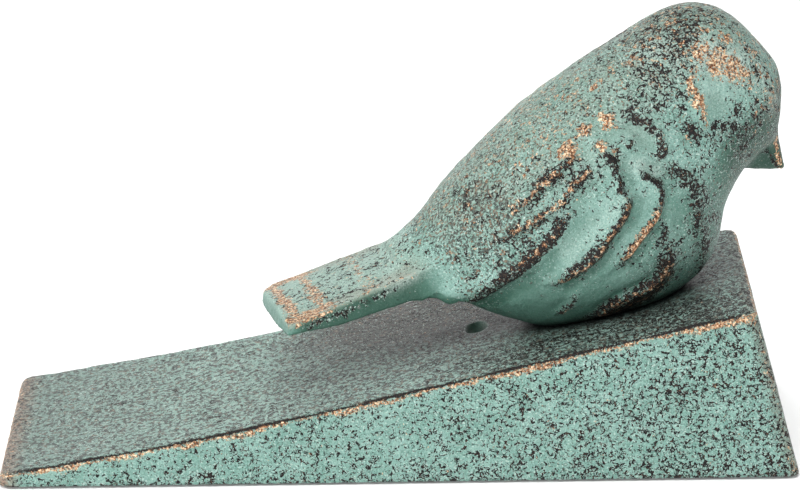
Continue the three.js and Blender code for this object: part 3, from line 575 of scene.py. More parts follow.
    # tail: worn top, also lightened in the paint as a painted highlight, copper along its edges, smooth sides
    hw, high, low = blade_levels(l, y)
    s = np.minimum(hw - np.abs(y), l + TAIL["lean"] * (high - h)) - (high - h)
    top = smooth(-0.8, 0.5, s)
    edge = np.exp(-((s + 0.1) / 0.85) ** 2)
    under = np.exp(-((s + 1.3) / 0.8) ** 2) * smooth(1, 3, l) * smooth(24, 15, l)
    t_dark = 0.08 + 0.36 * top + 0.62 * under
    t_fine = 0.03 + 0.42 * top + 0.5 * under
    across = hw - np.abs(y)
    ring = 0.78 * np.exp(-((l - 1.8 - 0.4 * lumps) / 1.0) ** 2) + 0.62 * np.exp(-((l - 7.0 + 0.5 * lumps) / 1.1) ** 2) + 0.3 * np.exp(-((l - 16) / 1.2) ** 2)
    ring = np.maximum(ring, 0.9 * np.exp(-((across - 1.8 - 0.4 * lumps) / 1.5) ** 2) * smooth(10.5, 7.5, l))
    t_cop = (0.24 + ring * smooth(0.3, 1.4, across)) * top + 0.75 * np.exp(-((across - (high - h) + 0.1) / 0.8) ** 2) * (0.3 + 0.7 * smooth(11, 6, l)) * smooth(0.2, 1.4, l)
    dark, fine, copper = (a * on_body + b * tail for a, b in ((dark, t_dark), (fine, t_fine), (copper, t_cop)))
    relief += tail * (0.10 * np.exp(-((s - 0.2) / 1.0) ** 2))
    # an uneven sand-cast skin
    lump = smooth(35, 55, deg) * smooth(125, 100, deg) * smooth(6, 12, u) * smooth(50, 44, u)
    relief += (0.10 + 0.10 * lump) * lattice(P, 0.28, 3) + (0.06 + 0.10 * lump) * lattice(P, 0.62, 4) + 0.035 * lattice(P, 1.15, 5)
    # nothing stands out past the top of the casting, and the seat stays flat
    over = (P[:, 2] - ramp_z(P[:, 0])) * math.cos(SLOPE)
    relief = relief * smooth(0.25, 2.0, over)
    room = CAD_HI[2] / MM - 0.05 - P[:, 2]
    relief = np.where(room < 1.5, np.minimum(relief, np.maximum(room, -0.2)), relief)
    # painted shade: the green is darkened where the surface faces down, in the hollows beside the folds, on the tail's
    # sides and end, under the throat and breast, and beneath the wing's tip by the tail root
    down = -N[:, 2]
    deep = 0.74 * smooth(-0.25, 0.75, down) + 0.35 * smooth(0.0, -0.45, relief)
    deep = deep + 1.05 * tail * (1 - top) * smooth(0.5, 3.0, l) + 0.55 * tail * (1 - top) + 1.3 * on_body * smooth(46, 55, u) * smooth(95, 120, deg) + 0.5 * on_body * smooth(38, 43, u) * smooth(100, 116, deg) + 0.35 * on_body * smooth(50, 54, u) * smooth(112, 126, deg)
    deep = deep + 0.5 * smooth(6, -1, u) * smooth(100, 118, deg) * on_body
    # painted highlight: the green is laid pale along the listed lines on the wing, crown and face, and in a band by the
    # top edge of the tail
    painted_highlight = np.zeros(len(P))
    for line, k, reach in PAINTED_HIGHLIGHTS:
        d, side, at = along_line(B, uv, line)
        painted_highlight = np.maximum(painted_highlight, k * np.exp(-(d / reach) ** 2))
    painted_highlight = painted_highlight * (0.75 + 0.25 * lumps) * on_body + 0.55 * tail * np.exp(-((s + 0.4) / 1.2) ** 2) * smooth(15, 21, l)
    # painted contact shadow: the body is darkened close to the ramp
    contact = 0.8 * smooth(2.6, 0.2, (P[:, 2] - ramp_z(P[:, 0])) * math.cos(SLOPE))
    glaze = 0.3 * smooth(78, 40, deg) * smooth(-2, 6, u) * on_body * (0.65 + 0.35 * lattice(P, 0.35, 13))
    glaze = glaze + 0.34 * tail * top * smooth(5.5, 2.0, across)
    return relief, dict(glaze=np.clip(glaze, 0, 1), deep=np.clip(deep, 0, 1.9), painted_highlight=np.clip(painted_highlight, 0, 1), contact=contact, dark=np.clip(dark, 0, 1), fine=np.clip(fine, 0, 1), copper=np.clip(copper, 0, 1), tail_top=top * tail)


H = 0.45
P, T = skin(bird_distance, np.arange(-25, 72, H), np.arange(-27, 22, H), np.arange(17, 80, H))
N = unit(gradient(bird_surface, P)[1])
relief, wear_and_painted_light = sculpt(P, N)
P = P + relief[:, None] * N
P[:, 2] = np.minimum(P[:, 2], CAD_HI[2] / MM - 0.02)
P[:, 0] += SHIFT
bird = make_mesh("bird_cast", P, T, wear_and_painted_light)
print("bird", len(P), len(T), P.min(0), P.max(0))

# ------------------------------------------------------------------ the wedge
xs = steps((-71, -66, 0.5), (-66, 10.8, 1.0), (10.8, 16.8, 0.34), (16.8, 62, 1.0), (62, 71, 0.5))
ys = steps((-32.6, -28, 0.42), (-28, -2.8, 1.2), (-2.8, 6.0, 0.34), (6.0, 28, 1.2), (28, 32.6, 0.42))
zs = np.arange(-0.5, 33, 0.42)
P, T = skin(wedge_distance, xs, ys, zs)
g = 1 / math.sqrt(1 + math.tan(SLOPE) ** 2)
below = -(P[:, 2] - ramp_z(P[:, 0])) * g
within = -plan_distance(P[:, 0], P[:, 1], P[:, 2], 0)
outer = (np.minimum(below, within) < 1.4)
N = unit(gradient(wedge_distance, P)[1])
relief = 0.07 * lattice(P, 0.16, 21) + 0.045 * lattice(P, 0.5, 22) - 0.05
edge = np.exp(-((within - below) / 1.1) ** 2) * (np.minimum(below, within) < 1.2)
relief += edge * (0.10 * lattice(P, 0.9, 23) - 0.08)
relief *= smooth(0.3, 1.6, P[:, 2])
P = P + relief[:, None] * N
cx, ax = (-HEEL_DRAFT * P[:, 2]) / 2, (LENGTH - HEEL_DRAFT * P[:, 2]) / 2
ex, ey = ax - np.abs(P[:, 0] - cx), (WIDTH / 2 - SIDE_DRAFT * P[:, 2]) - np.abs(P[:, 1])
attrs = dict(rim=np.clip(within - below, -8, 8), corner=np.clip(ex + ey, 0, 8), heel=smooth(3, 0, LENGTH / 2 - HEEL_DRAFT * P[:, 2] - P[:, 0]), outer=outer.astype(float))
away = np.maximum(bird_surface(P[:, 0], P[:, 1], P[:, 2]), 0)
# painted contact shadow on the ramp, darkest against the bird
attrs["contact"] = np.where(below < 2, 0.85 * np.exp(-(away / 1.6) ** 2) + 0.38 * np.exp(-away / 4.0), 0)
P[:, 0] += SHIFT
lo, hi = np.array(CAD_LO) / MM, np.array(CAD_HI) / MM
P[:, 0], P[:, 1] = np.clip(P[:, 0], lo[0] + 0.01, hi[0] - 0.01), np.clip(P[:, 1], lo[1] + 0.01, hi[1] - 0.01)
wedge = make_mesh("wedge_cast", P, T, attrs)
print("wedge", len(P), len(T), P.min(0), P.max(0))


# ------------------------------------------------------------------ materials
def srgb(r, g, b):
    f = lambda c: c / 12.92 if c <= 0.04045 else ((c + 0.055) / 1.055) ** 2.4
    return (f(r / 255), f(g / 255), f(b / 255), 1.0)


class Graph:
    "a material's nodes, with object coordinates in millimetres"

    def __init__(self, name):
        self.mat = bpy.data.materials.new(name)
        self.mat.use_nodes = True
        self.t = self.mat.node_tree
        self.t.nodes.clear()
        self.out = self.node("ShaderNodeOutputMaterial")
        self.bsdf = self.node("ShaderNodeBsdfPrincipled")
        self.t.links.new(self.bsdf.outputs[0], self.out.inputs["Surface"])
        tc = self.node("ShaderNodeTexCoord")
        self.P = self.vec("SCALE", tc.outputs["Object"], scale=1000.0)

    def node(self, kind, **props):
        n = self.t.nodes.new(kind)
        for k, v in props.items():
            setattr(n, k, v)
        return n

    def put(self, socket, v):
        if isinstance(v, bpy.types.NodeSocket):
            self.t.links.new(v, socket)
        else:
            socket.default_value = v

    def math(self, op, a, b=None, c=None, clamp=False):
        n = self.node("ShaderNodeMath", operation=op, use_clamp=clamp)
        for s, v in zip(n.inputs, (a, b, c)):
            if v is not None:
                self.put(s, v)
        return n.outputs[0]

    def add(self, a, b): return self.math("ADD", a, b)
    def sub(self, a, b): return self.math("SUBTRACT", a, b)
    def mul(self, a, b): return self.math("MULTIPLY", a, b)
    def top(self, a, b): return self.math("MAXIMUM", a, b)

    def vec(self, op, a, b=None, scale=None):
        n = self.node("ShaderNodeVectorMath", operation=op)
        self.put(n.inputs[0], a)
        if b is not None:
            self.put(n.inputs[1], b)
        if scale is not None:
            self.put(n.inputs["Scale"], scale)
        return n.outputs[0]

    def shift(self, v, x, y, z): return self.vec("ADD", v, (x, y, z))

    def noise(self, v, scale, detail=2.0, rough=0.5, warp=0.0, color=False):
        n = self.node("ShaderNodeTexNoise", noise_dimensions="3D")
        for k, x in (("Vector", v), ("Scale", scale), ("Detail", detail), ("Roughness", rough), ("Distortion", warp)):
            self.put(n.inputs[k], x)
        return n.outputs["Color" if color else "Fac"]

    def cells(self, v, scale, feature="F1", rnd=1.0, out="Distance"):
        n = self.node("ShaderNodeTexVoronoi", voronoi_dimensions="3D", feature=feature)
        for k, x in (("Vector", v), ("Scale", scale), ("Randomness", rnd)):
            self.put(n.inputs[k], x)
        return n.outputs[out]

    def step(self, x, lo, hi, a=0.0, b=1.0):
        n = self.node("ShaderNodeMapRange", interpolation_type="SMOOTHSTEP")
        for k, v in (("Value", x), ("From Min", lo), ("From Max", hi), ("To Min", a), ("To Max", b)):
            self.put(n.inputs[k], v)
        return n.outputs[0]

    def line(self, x, lo, hi, a=0.0, b=1.0):
        n = self.node("ShaderNodeMapRange")
        for k, v in (("Value", x), ("From Min", lo), ("From Max", hi), ("To Min", a), ("To Max", b)):
            self.put(n.inputs[k], v)
        return n.outputs[0]

    def mix(self, f, a, b):
        n = self.node("ShaderNodeMix", data_type="FLOAT")
        self.put(n.inputs[0], f), self.put(n.inputs[2], a), self.put(n.inputs[3], b)
        return n.outputs[0]

    def mixc(self, f, a, b, how="MIX"):
        n = self.node("ShaderNodeMix", data_type="RGBA", blend_type=how)
        self.put(n.inputs[0], f), self.put(n.inputs[6], a), self.put(n.inputs[7], b)
        return n.outputs[2]

    def ramp(self, f, *stops):
        n = self.node("ShaderNodeValToRGB")
        self.put(n.inputs[0], f)
        e = n.color_ramp.elements
        while len(e) < len(stops):
            e.new(0.5)
        for k, (at, c) in enumerate(stops):
            e[k].position, e[k].color = at, c
        return n.outputs[0]

    def attr(self, name):
        return self.node("ShaderNodeAttribute", attribute_name=name).outputs["Fac"]

    def xyz(self, v):
        n = self.node("ShaderNodeSeparateXYZ")
        self.put(n.inputs[0], v)
        return n.outputs

    def bump(self, height, mm, strength=1.0, normal=None):
        n = self.node("ShaderNodeBump")
        n.inputs["Distance"].default_value = mm * MM
        n.inputs["Strength"].default_value = strength
        self.put(n.inputs["Height"], height)
        if normal is not None:
            self.put(n.inputs["Normal"], normal)
        return n.outputs[0]

    def set(self, **v):
        for k, x in v.items():
            self.put(self.bsdf.inputs[k.replace("_", " ")], x)
        return self.mat


def patina(name, dark, fine, copper, extra_dark=None, extra_copper=None, light=None, deep=None, soot_and_shadow=None, coarse=None, smear=None, contact_shadow=None, painted_highlight=None, even=0.0, seed=0.0, size=(1.0, 1.0, 1.0), gloss=None, speck=(0.74, 0.44), specks=((44, 46, 44), (78, 71, 63), (138, 102, 78))):
    """verdigris paint rubbed through to black iron and copper. dark, fine and copper are how much of each there is, 0
    to 1.
    extra_dark and extra_copper are masks laid on top; light pulls the green paler as a painted highlight, deep pulls it
    deeper as painted shade, soot_and_shadow pulls it to a brownish grey as a soot tone with painted shadow,
    painted_highlight lays pale painted highlight and contact_shadow lays a dark painted contact shadow."""
    g = Graph(name)
    P = g.vec("MULTIPLY", g.shift(g.P, seed, seed * 0.7, -seed), size)
    D, F, C = dark(g), fine(g), copper(g)
    wob = g.vec("ADD", P, g.vec("SCALE", g.vec("SUBTRACT", g.noise(P, 0.9, 2.0, color=True), (0.5, 0.5, 0.5)), scale=1.3))
    clump = g.noise(P, 0.16, 2.0, 0.6)
    D2 = g.math("ADD", D, g.mul(g.sub(clump, 0.5), g.step(D, 0.0, 0.25, 0.0, 1.0 - 0.55 * even)), clamp=True)
    fray = g.noise(g.shift(P, 2, 8, 4), 2.6, 1.0, 0.5)
    # the paint is crazed: short chains of cracks, widest where they meet
    edge = g.cells(wob, 0.86 + 0.26 * even, "DISTANCE_TO_EDGE")
    brk = g.noise(g.shift(P, 31, -17, 9), 0.62 + 0.3 * even, 2.0, 0.62)
    gap = g.sub(brk, g.line(D2, 0.0, 1.0, 0.72, 0.28))
    wide = g.math("MINIMUM", g.mul(gap, 1.0), g.line(D2, 0.4, 1.0, 0.10, 0.20))
    wide = g.add(wide, g.mul(g.sub(fray, 0.47), g.step(gap, 0.0, 0.1, 0.0, 0.62)))
    crack = g.mul(g.step(g.sub(edge, wide), 0.035, -0.02), g.step(gap, 0.0, 0.02))
    # short wriggling lines where the black shows through
    n1 = g.noise(wob, 0.95, 2.0, 0.55)
    off = g.math("ABSOLUTE", g.sub(n1, 0.5))
    open_ = g.step(g.sub(g.noise(g.shift(P, 1, 17, -9), 1.15, 1.0, 0.5), g.line(D2, 0.0, 1.0, 0.74, 0.40)), -0.03, 0.035)
    worm = g.mul(g.step(off, 0.036, 0.016), open_)
    # painted highlight: a pale rim round the worm lines and cracks
    painted_halo = g.math("MAXIMUM", g.mul(g.step(off, 0.085, 0.045), open_), g.mul(g.step(g.sub(edge, wide), 0.17, 0.05), g.step(gap, 0.0, 0.05)))
    # blots where it is worn most
    n3 = g.noise(g.shift(wob, -11, 23, 5), 1.55, 3.0, 0.66)
    blot = g.step(g.sub(n3, g.line(D2, 0.3, 1.0, 0.74 + 0.05 * even, 0.41 + 0.05 * even)), -0.012, 0.02)
    # with grains of paint left in them
    grit = g.noise(g.shift(wob, 12, 5, -7), 2.3, 1.0, 0.5)
    blot = g.mul(blot, g.step(grit, 0.585, 0.545))
    # small dots
    n4 = g.noise(g.shift(P, 7, 3, -41), 1.9, 2.0, 0.66)
    if coarse is not None:
        n4 = g.mix(coarse(g), n4, g.noise(g.shift(wob, 17, 3, -41), 1.15, 3.0, 0.68))
    dots = g.step(g.sub(n4, g.line(F, 0.0, 1.0, speck[0], speck[1])), -0.015, 0.03)
    dots_c = g.noise(g.shift(P, -3, 13, 2), 0.9, 2.0, 0.6)
    # copper rubbed on what stands out, mottled with the green and black around it
    n5 = g.noise(g.shift(wob, 3, -29, 17), 0.95, 4.0, 0.70)
    rub = g.step(g.sub(n5, g.line(C, 0.0, 1.0, 0.72, 0.36)), -0.015, 0.025)
    black = g.math("MAXIMUM", g.math("MAXIMUM", worm, blot), crack)
    if extra_dark is not None:
        black = g.math("MAXIMUM", black, extra_dark(g, n3, n1))
    if extra_copper is not None:
        rub = g.math("MAXIMUM", rub, extra_copper(g, n5, n3))
    pits = g.step(g.noise(g.shift(P, 44, 3, 1), 2.9, 1.0, 0.5), 0.55, 0.60)
    rub = g.mul(rub, g.line(pits, 0.0, 1.0, 1.0, 0.3))
    # colours
    n6 = g.noise(P, 0.22, 3.0, 0.6)
    n7 = g.noise(P, 3.2, 2.0, 0.6)
    green = g.ramp(n6, (0.34, srgb(111, 155, 142)), (0.5, srgb(127, 167, 155)), (0.66, srgb(143, 181, 170)))
    n8 = g.noise(g.shift(P, 5, 5, 5), 1.25, 3.0, 0.65)
    green = g.mixc(g.line(n8, 0.38, 0.62, 0.0, 0.5), green, srgb(94, 138, 126))
    green = g.mixc(g.line(n7, 0.42, 0.66, 0.0, 0.45), green, srgb(172, 204, 194))
    # painted shade: deep darkens the green, and past 0.95 darkens it further
    if deep is not None:
        k = deep(g)
        green = g.mixc(g.math("MINIMUM", k, 0.95), green, srgb(70, 112, 97))
        green = g.mixc(g.line(k, 0.95, 1.9, 0.0, 0.8), green, srgb(40, 74, 60))
    # painted highlight: light pulls the green paler
    if light is not None:
        green = g.mixc(light(g), green, srgb(176, 194, 180))
    # soot tone with painted shadow: pulls the green to a brownish grey
    if soot_and_shadow is not None:
        green = g.mixc(soot_and_shadow(g, n8), green, srgb(68, 71, 65))
    # painted highlight: pale specks in the rim round the black marks
    green = g.mixc(g.mul(painted_halo, g.line(n7, 0.42, 0.58, 0.0, 0.7)), green, srgb(196, 222, 212))
    # painted glints: tiny pale specks of highlight, more where fine specks are dense
    painted_glint = g.step(g.noise(g.shift(P, 61, 7, 13), 2.5, 1.0, 0.5), 0.62, 0.68)
    green = g.mixc(g.mul(painted_glint, g.line(F, 0.05, 0.5, 0.04, 0.72)), green, srgb(214, 232, 225))
    # painted highlight: pale streaks where painted_highlight is high
    if painted_highlight is not None:
        green = g.mixc(g.mul(painted_highlight(g), g.line(n7, 0.36, 0.60, 0.25, 1.0)), green, srgb(206, 222, 213))
    if smear is not None:
        green = g.mixc(smear(g, n8), green, srgb(150, 120, 102))
    brown = g.ramp(dots_c, (0.38, srgb(*specks[0])), (0.54, srgb(*specks[1])), (0.66, srgb(*specks[2])))
    col = g.mixc(g.mul(dots, 0.85), green, brown)
    iron = g.ramp(n7, (0.35, srgb(14, 15, 16)), (0.56, srgb(26, 24, 24)), (0.66, srgb(84, 62, 48)))
    col = g.mixc(black, col, iron)
    shine = g.noise(g.shift(P, 19, 5, 23), 2.1, 2.0, 0.62)
    metal = g.ramp(shine, (0.34, srgb(84, 56, 42)), (0.44, srgb(150, 100, 70)), (0.53, srgb(214, 166, 124)), (0.60, srgb(254, 228, 192)))
    col = g.mixc(rub, col, metal)
    # painted contact shadow: a near-black green laid where contact_shadow is high
    if contact_shadow is not None:
        col = g.mixc(contact_shadow(g, n8), col, srgb(24, 33, 30))
    # paint stands over the bare iron; both lie on a sand-cast skin
    paint = g.sub(1.0, g.top(black, g.mul(dots, 0.7)))
    paint = g.sub(paint, g.mul(rub, 0.35))
    sand = g.noise(P, 1.1, 3.0, 0.6)
    grain = g.noise(P, 3.4, 2.0, 0.6)
    height = g.add(g.mul(paint, 0.14), g.add(g.mul(sand, 0.30), g.mul(grain, 0.10)))
    rough = g.mix(black, g.line(grain, 0.3, 0.7, 0.34, 0.52), 0.6)
    rough = g.mix(rub, rough, g.line(shine, 0.3, 0.7, 0.5, 0.34))
    if gloss is not None:
        rough = g.mix(gloss(g), rough, 0.24)
    return g.set(Base_Color=col, Roughness=rough, Metallic=g.mul(rub, 0.5), Specular_IOR_Level=0.32, Normal=g.bump(height, 1.0, 1.0))


def bird_paint():
    attr = lambda n: lambda g: g.attr(n)
    # light is a painted highlight on the tail's top, deep is painted shade, painted_highlight lays pale painted
    # highlight, contact_shadow is a painted contact shadow by the ramp
    return patina("verdigris_bird", attr("dark"), attr("fine"), attr("copper"), seed=0.0, size=(1.12, 1.12, 1.12), even=0.3,
                  light=lambda g: g.mul(g.attr("tail_top"), 0.35), deep=attr("deep"), painted_highlight=attr("painted_highlight"), smear=lambda g, n8: g.mul(g.attr("glaze"), g.line(n8, 0.35, 0.6, 0.6, 1.0)), coarse=lambda g: g.mul(g.attr("tail_top"), 0.35),
                  contact_shadow=lambda g, n8: g.mul(g.attr("contact"), g.line(n8, 0.35, 0.6, 0.7, 1.0)))


def wedge_paint():
    def top(g):
        return g.step(g.attr("rim"), -0.35, 0.35)

    def place(g, x0, y0, rx, ry):
        "one at a point of the ramp, falling to zero round it"
        p = g.xyz(g.P)
        a, b = g.mul(g.sub(p[0], x0), 1 / rx), g.mul(g.sub(p[1], y0), 1 / ry)
        return g.step(g.add(g.mul(a, a), g.mul(b, b)), 1.3, 0.1)

    def bowl(g):
        "one in the dimple, where the paint is whole"
        return g.step(g.math("SQRT", g.add(g.math("POWER", g.math("ABSOLUTE", g.sub(g.xyz(g.P)[0], RECESS["x"] + 0.4)), 2.0), g.math("POWER", g.math("ABSOLUTE", g.mul(g.sub(g.xyz(g.P)[1], RECESS["y"]), 0.56)), 2.0))), 2.5, 1.8)

    def dark(g):
        x, _, z = g.xyz(g.P)
        side = g.add(g.line(x, -60, 60, 0.38, 0.57), g.step(z, 5.0, 0.5, 0.0, 0.08))
        ramp = g.add(g.line(x, -60, 60, 0.30, 0.46), g.add(g.mul(place(g, 40, -22, 34, 12), 0.24), g.mul(place(g, 14, 16, 36, 24), 0.12)))
        return g.mul(g.mix(top(g), side, ramp), g.sub(1.0, bowl(g)))

    def fine(g):
        x = g.xyz(g.P)[0]
        return g.mul(g.mix(top(g), 0.34, g.line(x, -60, 20, 0.76, 0.84)), g.sub(1.0, bowl(g)))

    def copper(g):
        x = g.xyz(g.P)[0]
        toe = g.mul(g.step(x, -64, -69.5), 0.22)
        return g.mul(g.mix(top(g), g.add(0.13, g.mul(g.step(g.attr("corner"), 2.4, 0.3), 0.5)), g.add(0.12, toe)), g.sub(1.0, bowl(g)))

    def extra_dark(g, n3, n1):
        r, x = g.attr("rim"), g.xyz(g.P)[0]
        s = g.add(r, g.mul(g.sub(n3, 0.5), 2.6))
        reach = g.line(g.noise(g.P, 0.11, 1.0), 0.35, 0.65, 0.6, 1.35)
        z = g.xyz(g.P)[2]
        heel = g.sub(g.sub(LENGTH / 2, g.mul(z, HEEL_DRAFT)), x)
        ledge = g.mul(g.mul(g.step(s, -0.3, 0.0), g.step(g.sub(s, reach), 0.2, -0.25)), g.mul(g.step(heel, 1.6, 3.4), g.step(x, -68.0, -64.0)))
        foot = g.mul(g.step(g.add(z, g.mul(g.sub(n3, 0.5), 7.0)), 0.35, 0.0), g.step(r, 0.0, -0.8))
        return g.math("MAXIMUM", ledge, foot)

    def extra_copper(g, n5, n3):
        r = g.attr("rim")
        s = g.add(r, g.mul(g.sub(n5, 0.5), 3.2))
        reach = g.line(g.noise(g.P, 0.13, 1.0), 0.35, 0.65, 0.4, 1.5)
        lip = g.mul(g.step(g.add(s, reach), -0.25, 0.1), g.step(s, 0.05, -0.2))
        c = g.add(g.attr("corner"), g.mul(g.sub(n3, 0.5), 5.0))
        post = g.mul(g.step(c, 1.1, 0.6), g.step(g.xyz(g.P)[0], 60.0, 62.0))
        return g.math("MAXIMUM", g.mul(lip, g.step(n3, 0.38, 0.46)), g.mul(post, g.step(n5, 0.45, 0.5)))

    # painted shadow with a soot tone: a brownish grey laid on the ramp under and behind the tail, fainter beside the
    # breast and towards the toe
    def soot_and_shadow(g, n8):
        m = g.math("MAXIMUM", g.mul(place(g, 14, 18, 36, 24), 1.35), g.mul(place(g, 54, 6, 14, 14), 0.2))
        m = g.math("MAXIMUM", m, g.mul(g.step(g.xyz(g.P)[0], -30.0, -66.0), 0.36))
        return g.mul(g.mul(g.mul(m, g.line(n8, 0.35, 0.6, 0.7, 1.0)), top(g)), g.sub(1.0, bowl(g)))

    def smear(g, n8):
        "copper worn smooth and brown along the heel"
        h = g.mul(g.attr("heel"), g.line(n8, 0.35, 0.6, 0.12, 0.5))
        t = g.mul(g.mul(g.step(g.xyz(g.P)[0], -65.0, -69.3), g.line(n8, 0.35, 0.6, 0.45, 1.0)), 0.95)
        return g.math("MAXIMUM", h, t)

    # painted light: the ramp face is lightened as a painted sheen, the dimple's toe-side wall darkened as painted shade
    # and its heel-side wall lightened as a painted highlight, and the ramp round the bird darkened as a painted contact
    # shadow
    return patina("verdigris_wedge", dark, fine, copper, extra_dark, extra_copper, seed=57.0, size=(1.15, 0.8, 1.18), gloss=bowl, specks=((26, 30, 29), (56, 57, 53), (122, 98, 80)),
                  light=lambda g: g.mul(top(g), 0.18), deep=lambda g: g.mul(bowl(g), g.line(g.xyz(g.P)[0], RECESS["x"] - 0.9, RECESS["x"] + 1.1, 1.7, 0.3)), soot_and_shadow=soot_and_shadow,
                  painted_highlight=lambda g: g.mul(bowl(g), g.step(g.xyz(g.P)[0], RECESS["x"] + 0.6, RECESS["x"] + 1.7, 0.0, 0.55)), coarse=top, smear=smear, even=1.0,
                  contact_shadow=lambda g, n8: g.mul(g.mul(g.attr("contact"), g.line(n8, 0.35, 0.6, 0.7, 1.0)), g.sub(1.0, g.mul(bowl(g), 0.8))))


def steel(name, low, high, rough, scale):
    g = Graph(name)
    turn = g.noise(g.vec("MULTIPLY", g.P, (scale, scale, scale * 0.08)), 6.0, 3.0, 0.6)
    cloud = g.noise(g.P, 0.5, 3.0, 0.6)
    col = g.mixc(g.line(cloud, 0.35, 0.65), low, high)
    col = g.mixc(g.step(g.noise(g.P, 1.4, 3.0, 0.65), 0.62, 0.70, 0.0, 0.7), col, srgb(96, 82, 66))
    r = g.line(turn, 0.3, 0.7, rough - 0.08, rough + 0.12)
    return g.set(Base_Color=col, Metallic=1.0, Roughness=r, Normal=g.bump(turn, 0.01, 0.6))


def felt_cloth():
    g = Graph("felt")
    fib = g.noise(g.vec("MULTIPLY", g.P, (1.0, 1.0, 2.0)), 2.2, 4.0, 0.7, 1.6)
    tuft = g.noise(g.P, 0.45, 3.0, 0.6, 0.5)
    col = g.mixc(g.line(fib, 0.3, 0.7), srgb(30, 27, 25), srgb(74, 67, 60))
    col = g.mixc(g.line(tuft, 0.35, 0.65, 0.0, 0.4), col, srgb(46, 41, 37))
    return g.set(Base_Color=col, Roughness=g.line(fib, 0.3, 0.7, 0.86, 0.98), Sheen_Weight=0.35, Sheen_Roughness=0.6,
                 Normal=g.bump(g.add(g.mul(fib, 0.2), g.mul(tuft, 0.2)), 1.0, 0.8))


bird.data.materials.append(bird_paint())
wedge.data.materials.append(wedge_paint())
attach(bird, "root"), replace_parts(bird, "bird_casting"), bird
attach(wedge, "root"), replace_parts(wedge, "wedge_base"), wedge

zinc = steel("zinc_steel", srgb(150, 152, 152), srgb(186, 188, 188), 0.34, 1.0)
spring = steel("spring_steel", srgb(84, 86, 90), srgb(120, 121, 124), 0.4, 1.2)
pin = steel("dowel_steel", srgb(128, 130, 132), srgb(168, 170, 172), 0.3, 0.8)
for n, m, slot in (("fixing_screw", zinc, "zinc_steel"), ("flat_washer", zinc, "zinc_steel"), ("spring_washer", spring, "spring_steel"), ("dowel_pin", pin, "dowel_steel")):
    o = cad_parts[n]
    o.data.materials.clear()
    o.data.materials.append(m)


# ------------------------------------------------------------------ felt: a thin laid sheet with a soft, slightly uneven surface
def felt_sheet():
    x0, x1, hy, r = -LENGTH / 2 + FELT_INSET + 1.2, LENGTH / 2 - FELT_INSET, WIDTH / 2 - FELT_INSET, 3.0
    cx, ax = (x0 + x1) / 2, (x1 - x0) / 2

    def f(X, Y, Z):
        qx, qy = np.abs(X - cx) - (ax - r), np.abs(Y) - (hy - r)
        d = np.sqrt(np.maximum(qx, 0) ** 2 + np.maximum(qy, 0) ** 2) + np.minimum(np.maximum(qx, qy), 0) - r
        return both(d, np.abs(Z - 0.53) - 0.51, 0.22)

    P, T = skin(f, steps((x0 - 0.8, x0 + 3, 0.5), (x0 + 3, x1 - 3, 1.5), (x1 - 3, x1 + 0.8, 0.5)),
                steps((-hy - 0.8, -hy + 3, 0.5), (-hy + 3, hy - 3, 1.5), (hy - 3, hy + 0.8, 0.5)), np.arange(-0.21, 1.5, 0.27))
    N = unit(gradient(f, P)[1])
    soft = 0.03 * lattice(P, 0.7, 31) + 0.03 * lattice(P, 0.25, 32)
    rimmed = smooth(0.9, 0.3, np.abs(N[:, 2]))
    P = P + N * (soft * (1 - rimmed) * 0.6 + rimmed * 0.14 * lattice(P, 0.9, 33) - 0.02)[:, None]
    P[:, 2] = np.clip(P[:, 2], 0.003, 1.07)
    P[:, 0] += SHIFT
    return make_mesh("felt_sheet", P, T)


felt = felt_sheet()
felt.data.materials.append(felt_cloth())
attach(felt, "root"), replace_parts(felt, "felt_pad"), felt

# ------------------------------------------------------------------ floor, light and camera
floor_mesh = bpy.data.meshes.new("floor")
floor_mesh.from_pydata([(-4, -4, -0.0001), (4, -4, -0.0001), (4, 4, -0.0001), (-4, 4, -0.0001)], [], [(0, 1, 2, 3)])
floor = bpy.data.objects.new("floor", floor_mesh)
bpy.context.scene.collection.objects.link(floor)
pale = bpy.data.materials.new("pale_floor")
pale.use_nodes = True
b = pale.node_tree.nodes["Principled BSDF"]
b.inputs["Base Color"].default_value = (0.8, 0.8, 0.8, 1)
b.inputs["Roughness"].default_value = 0.9
b.inputs["Specular IOR Level"].default_value = 0.1
floor.data.materials.append(pale)
floor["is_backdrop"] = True
# a pale sweep stands round the floor, far behind the part
turn = [(3.2 + 0.6 * math.sin(a), 0.6 - 0.6 * math.cos(a)) for a in np.radians(np.arange(0, 91, 7.5))] + [(3.8, 1.1)]
around = [(math.cos(a), math.sin(a)) for a in np.radians(np.arange(0, 360, 5.0))]
m = len(around)
sweep_mesh = bpy.data.meshes.new("backdrop")
sweep_mesh.from_pydata([(r * c, r * s, z) for r, z in turn for c, s in around], [],
                       [(i * m + j, i * m + (j + 1) % m, (i + 1) * m + (j + 1) % m, (i + 1) * m + j) for i in range(len(turn) - 1) for j in range(m)])
for p in sweep_mesh.polygons:
    p.use_smooth = True
sweep = bpy.data.objects.new("backdrop", sweep_mesh)
bpy.context.scene.collection.objects.link(sweep)
sweep.data.materials.append(pale)
sweep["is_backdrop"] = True

world = bpy.data.worlds.new("studio")
world.use_nodes = True
world.node_tree.nodes["Background"].inputs["Color"].default_value = (1, 1, 1, 1)
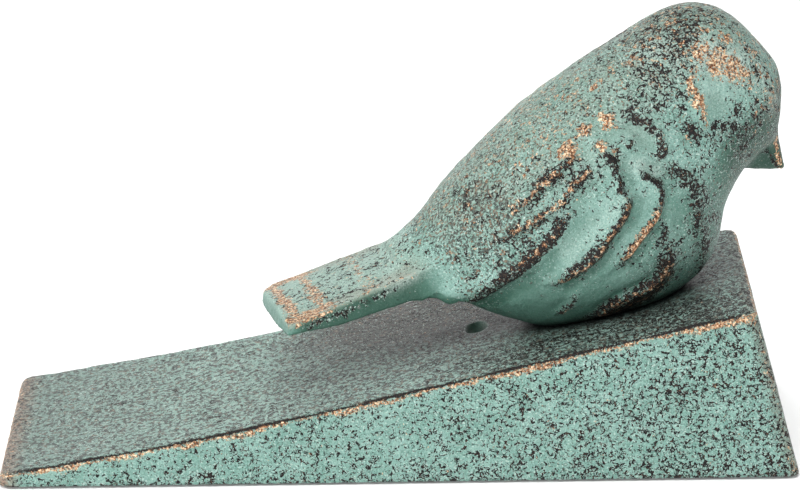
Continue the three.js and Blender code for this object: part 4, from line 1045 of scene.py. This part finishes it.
world.node_tree.nodes["Background"].inputs["Strength"].default_value = 0.24
bpy.context.scene.world = world


def softbox(name, at, aim, size, power):
    light = bpy.data.lights.new(name, "AREA")
    light.shape, light.size, light.size_y, light.energy = "RECTANGLE", size[0], size[1], power
    o = bpy.data.objects.new(name, light)
    o.location = at
    o.rotation_mode = "QUATERNION"
    o.rotation_quaternion = (Vector(aim) - Vector(at)).to_track_quat("-Z", "Y")
    bpy.context.scene.collection.objects.link(o)
    o.visible_camera = False
    o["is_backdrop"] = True
    return o


softbox("key_light", (-0.10, -0.75, 0.75), (0.0, 0.0, 0.03), (0.6, 0.4), 6.15)
softbox("left_light", (-0.95, -0.25, 0.5), (0.0, 0.0, 0.03), (0.5, 0.6), 5.1)
softbox("top_light", (0.0, 0.10, 0.95), (0.0, 0.0, 0.03), (0.6, 0.6), 2.8)
softbox("back_card", (0.0, 1.6, 0.45), (0.0, 0.0, 0.10), (2.0, 0.9), 5.5)
# a light for the floor alone, so that the backdrop is an even white
paper = softbox("floor_light", (0.0, 0.2, 2.0), (0.0, 0.2, 0.0), (6.0, 6.0), 66.0)
only = bpy.data.collections.new("floor_only")
only.objects.link(floor)
only.objects.link(sweep)
paper.light_linking.receiver_collection = only
paper.light_linking.blocker_collection = only

camera = bpy.data.cameras.new("camera")
camera.sensor_fit, camera.sensor_width, camera.lens = "HORIZONTAL", 36.0, 237.981
camera.clip_start, camera.clip_end = 0.01, 20.0
cam = bpy.data.objects.new("camera", camera)
bpy.context.scene.collection.objects.link(cam)
right, up, back = (0.9999092, -0.00312247, -0.01310893), (0.01347319, 0.25036067, 0.96805889), (2.59223526e-04, -0.968147606, 0.250380004)
place = ((0.900716 + SHIFT) * MM, -0.913471329, 0.271069899)
cam.matrix_world = Matrix([[right[k], up[k], back[k], place[k]] for k in range(3)] + [[0, 0, 0, 1]])
bpy.context.scene.camera = cam
bpy.context.scene.view_settings.view_transform = "Standard"

lo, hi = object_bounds()
{"cad": [list(CAD_LO), list(CAD_HI)], "visual": [list(lo), list(hi)]}
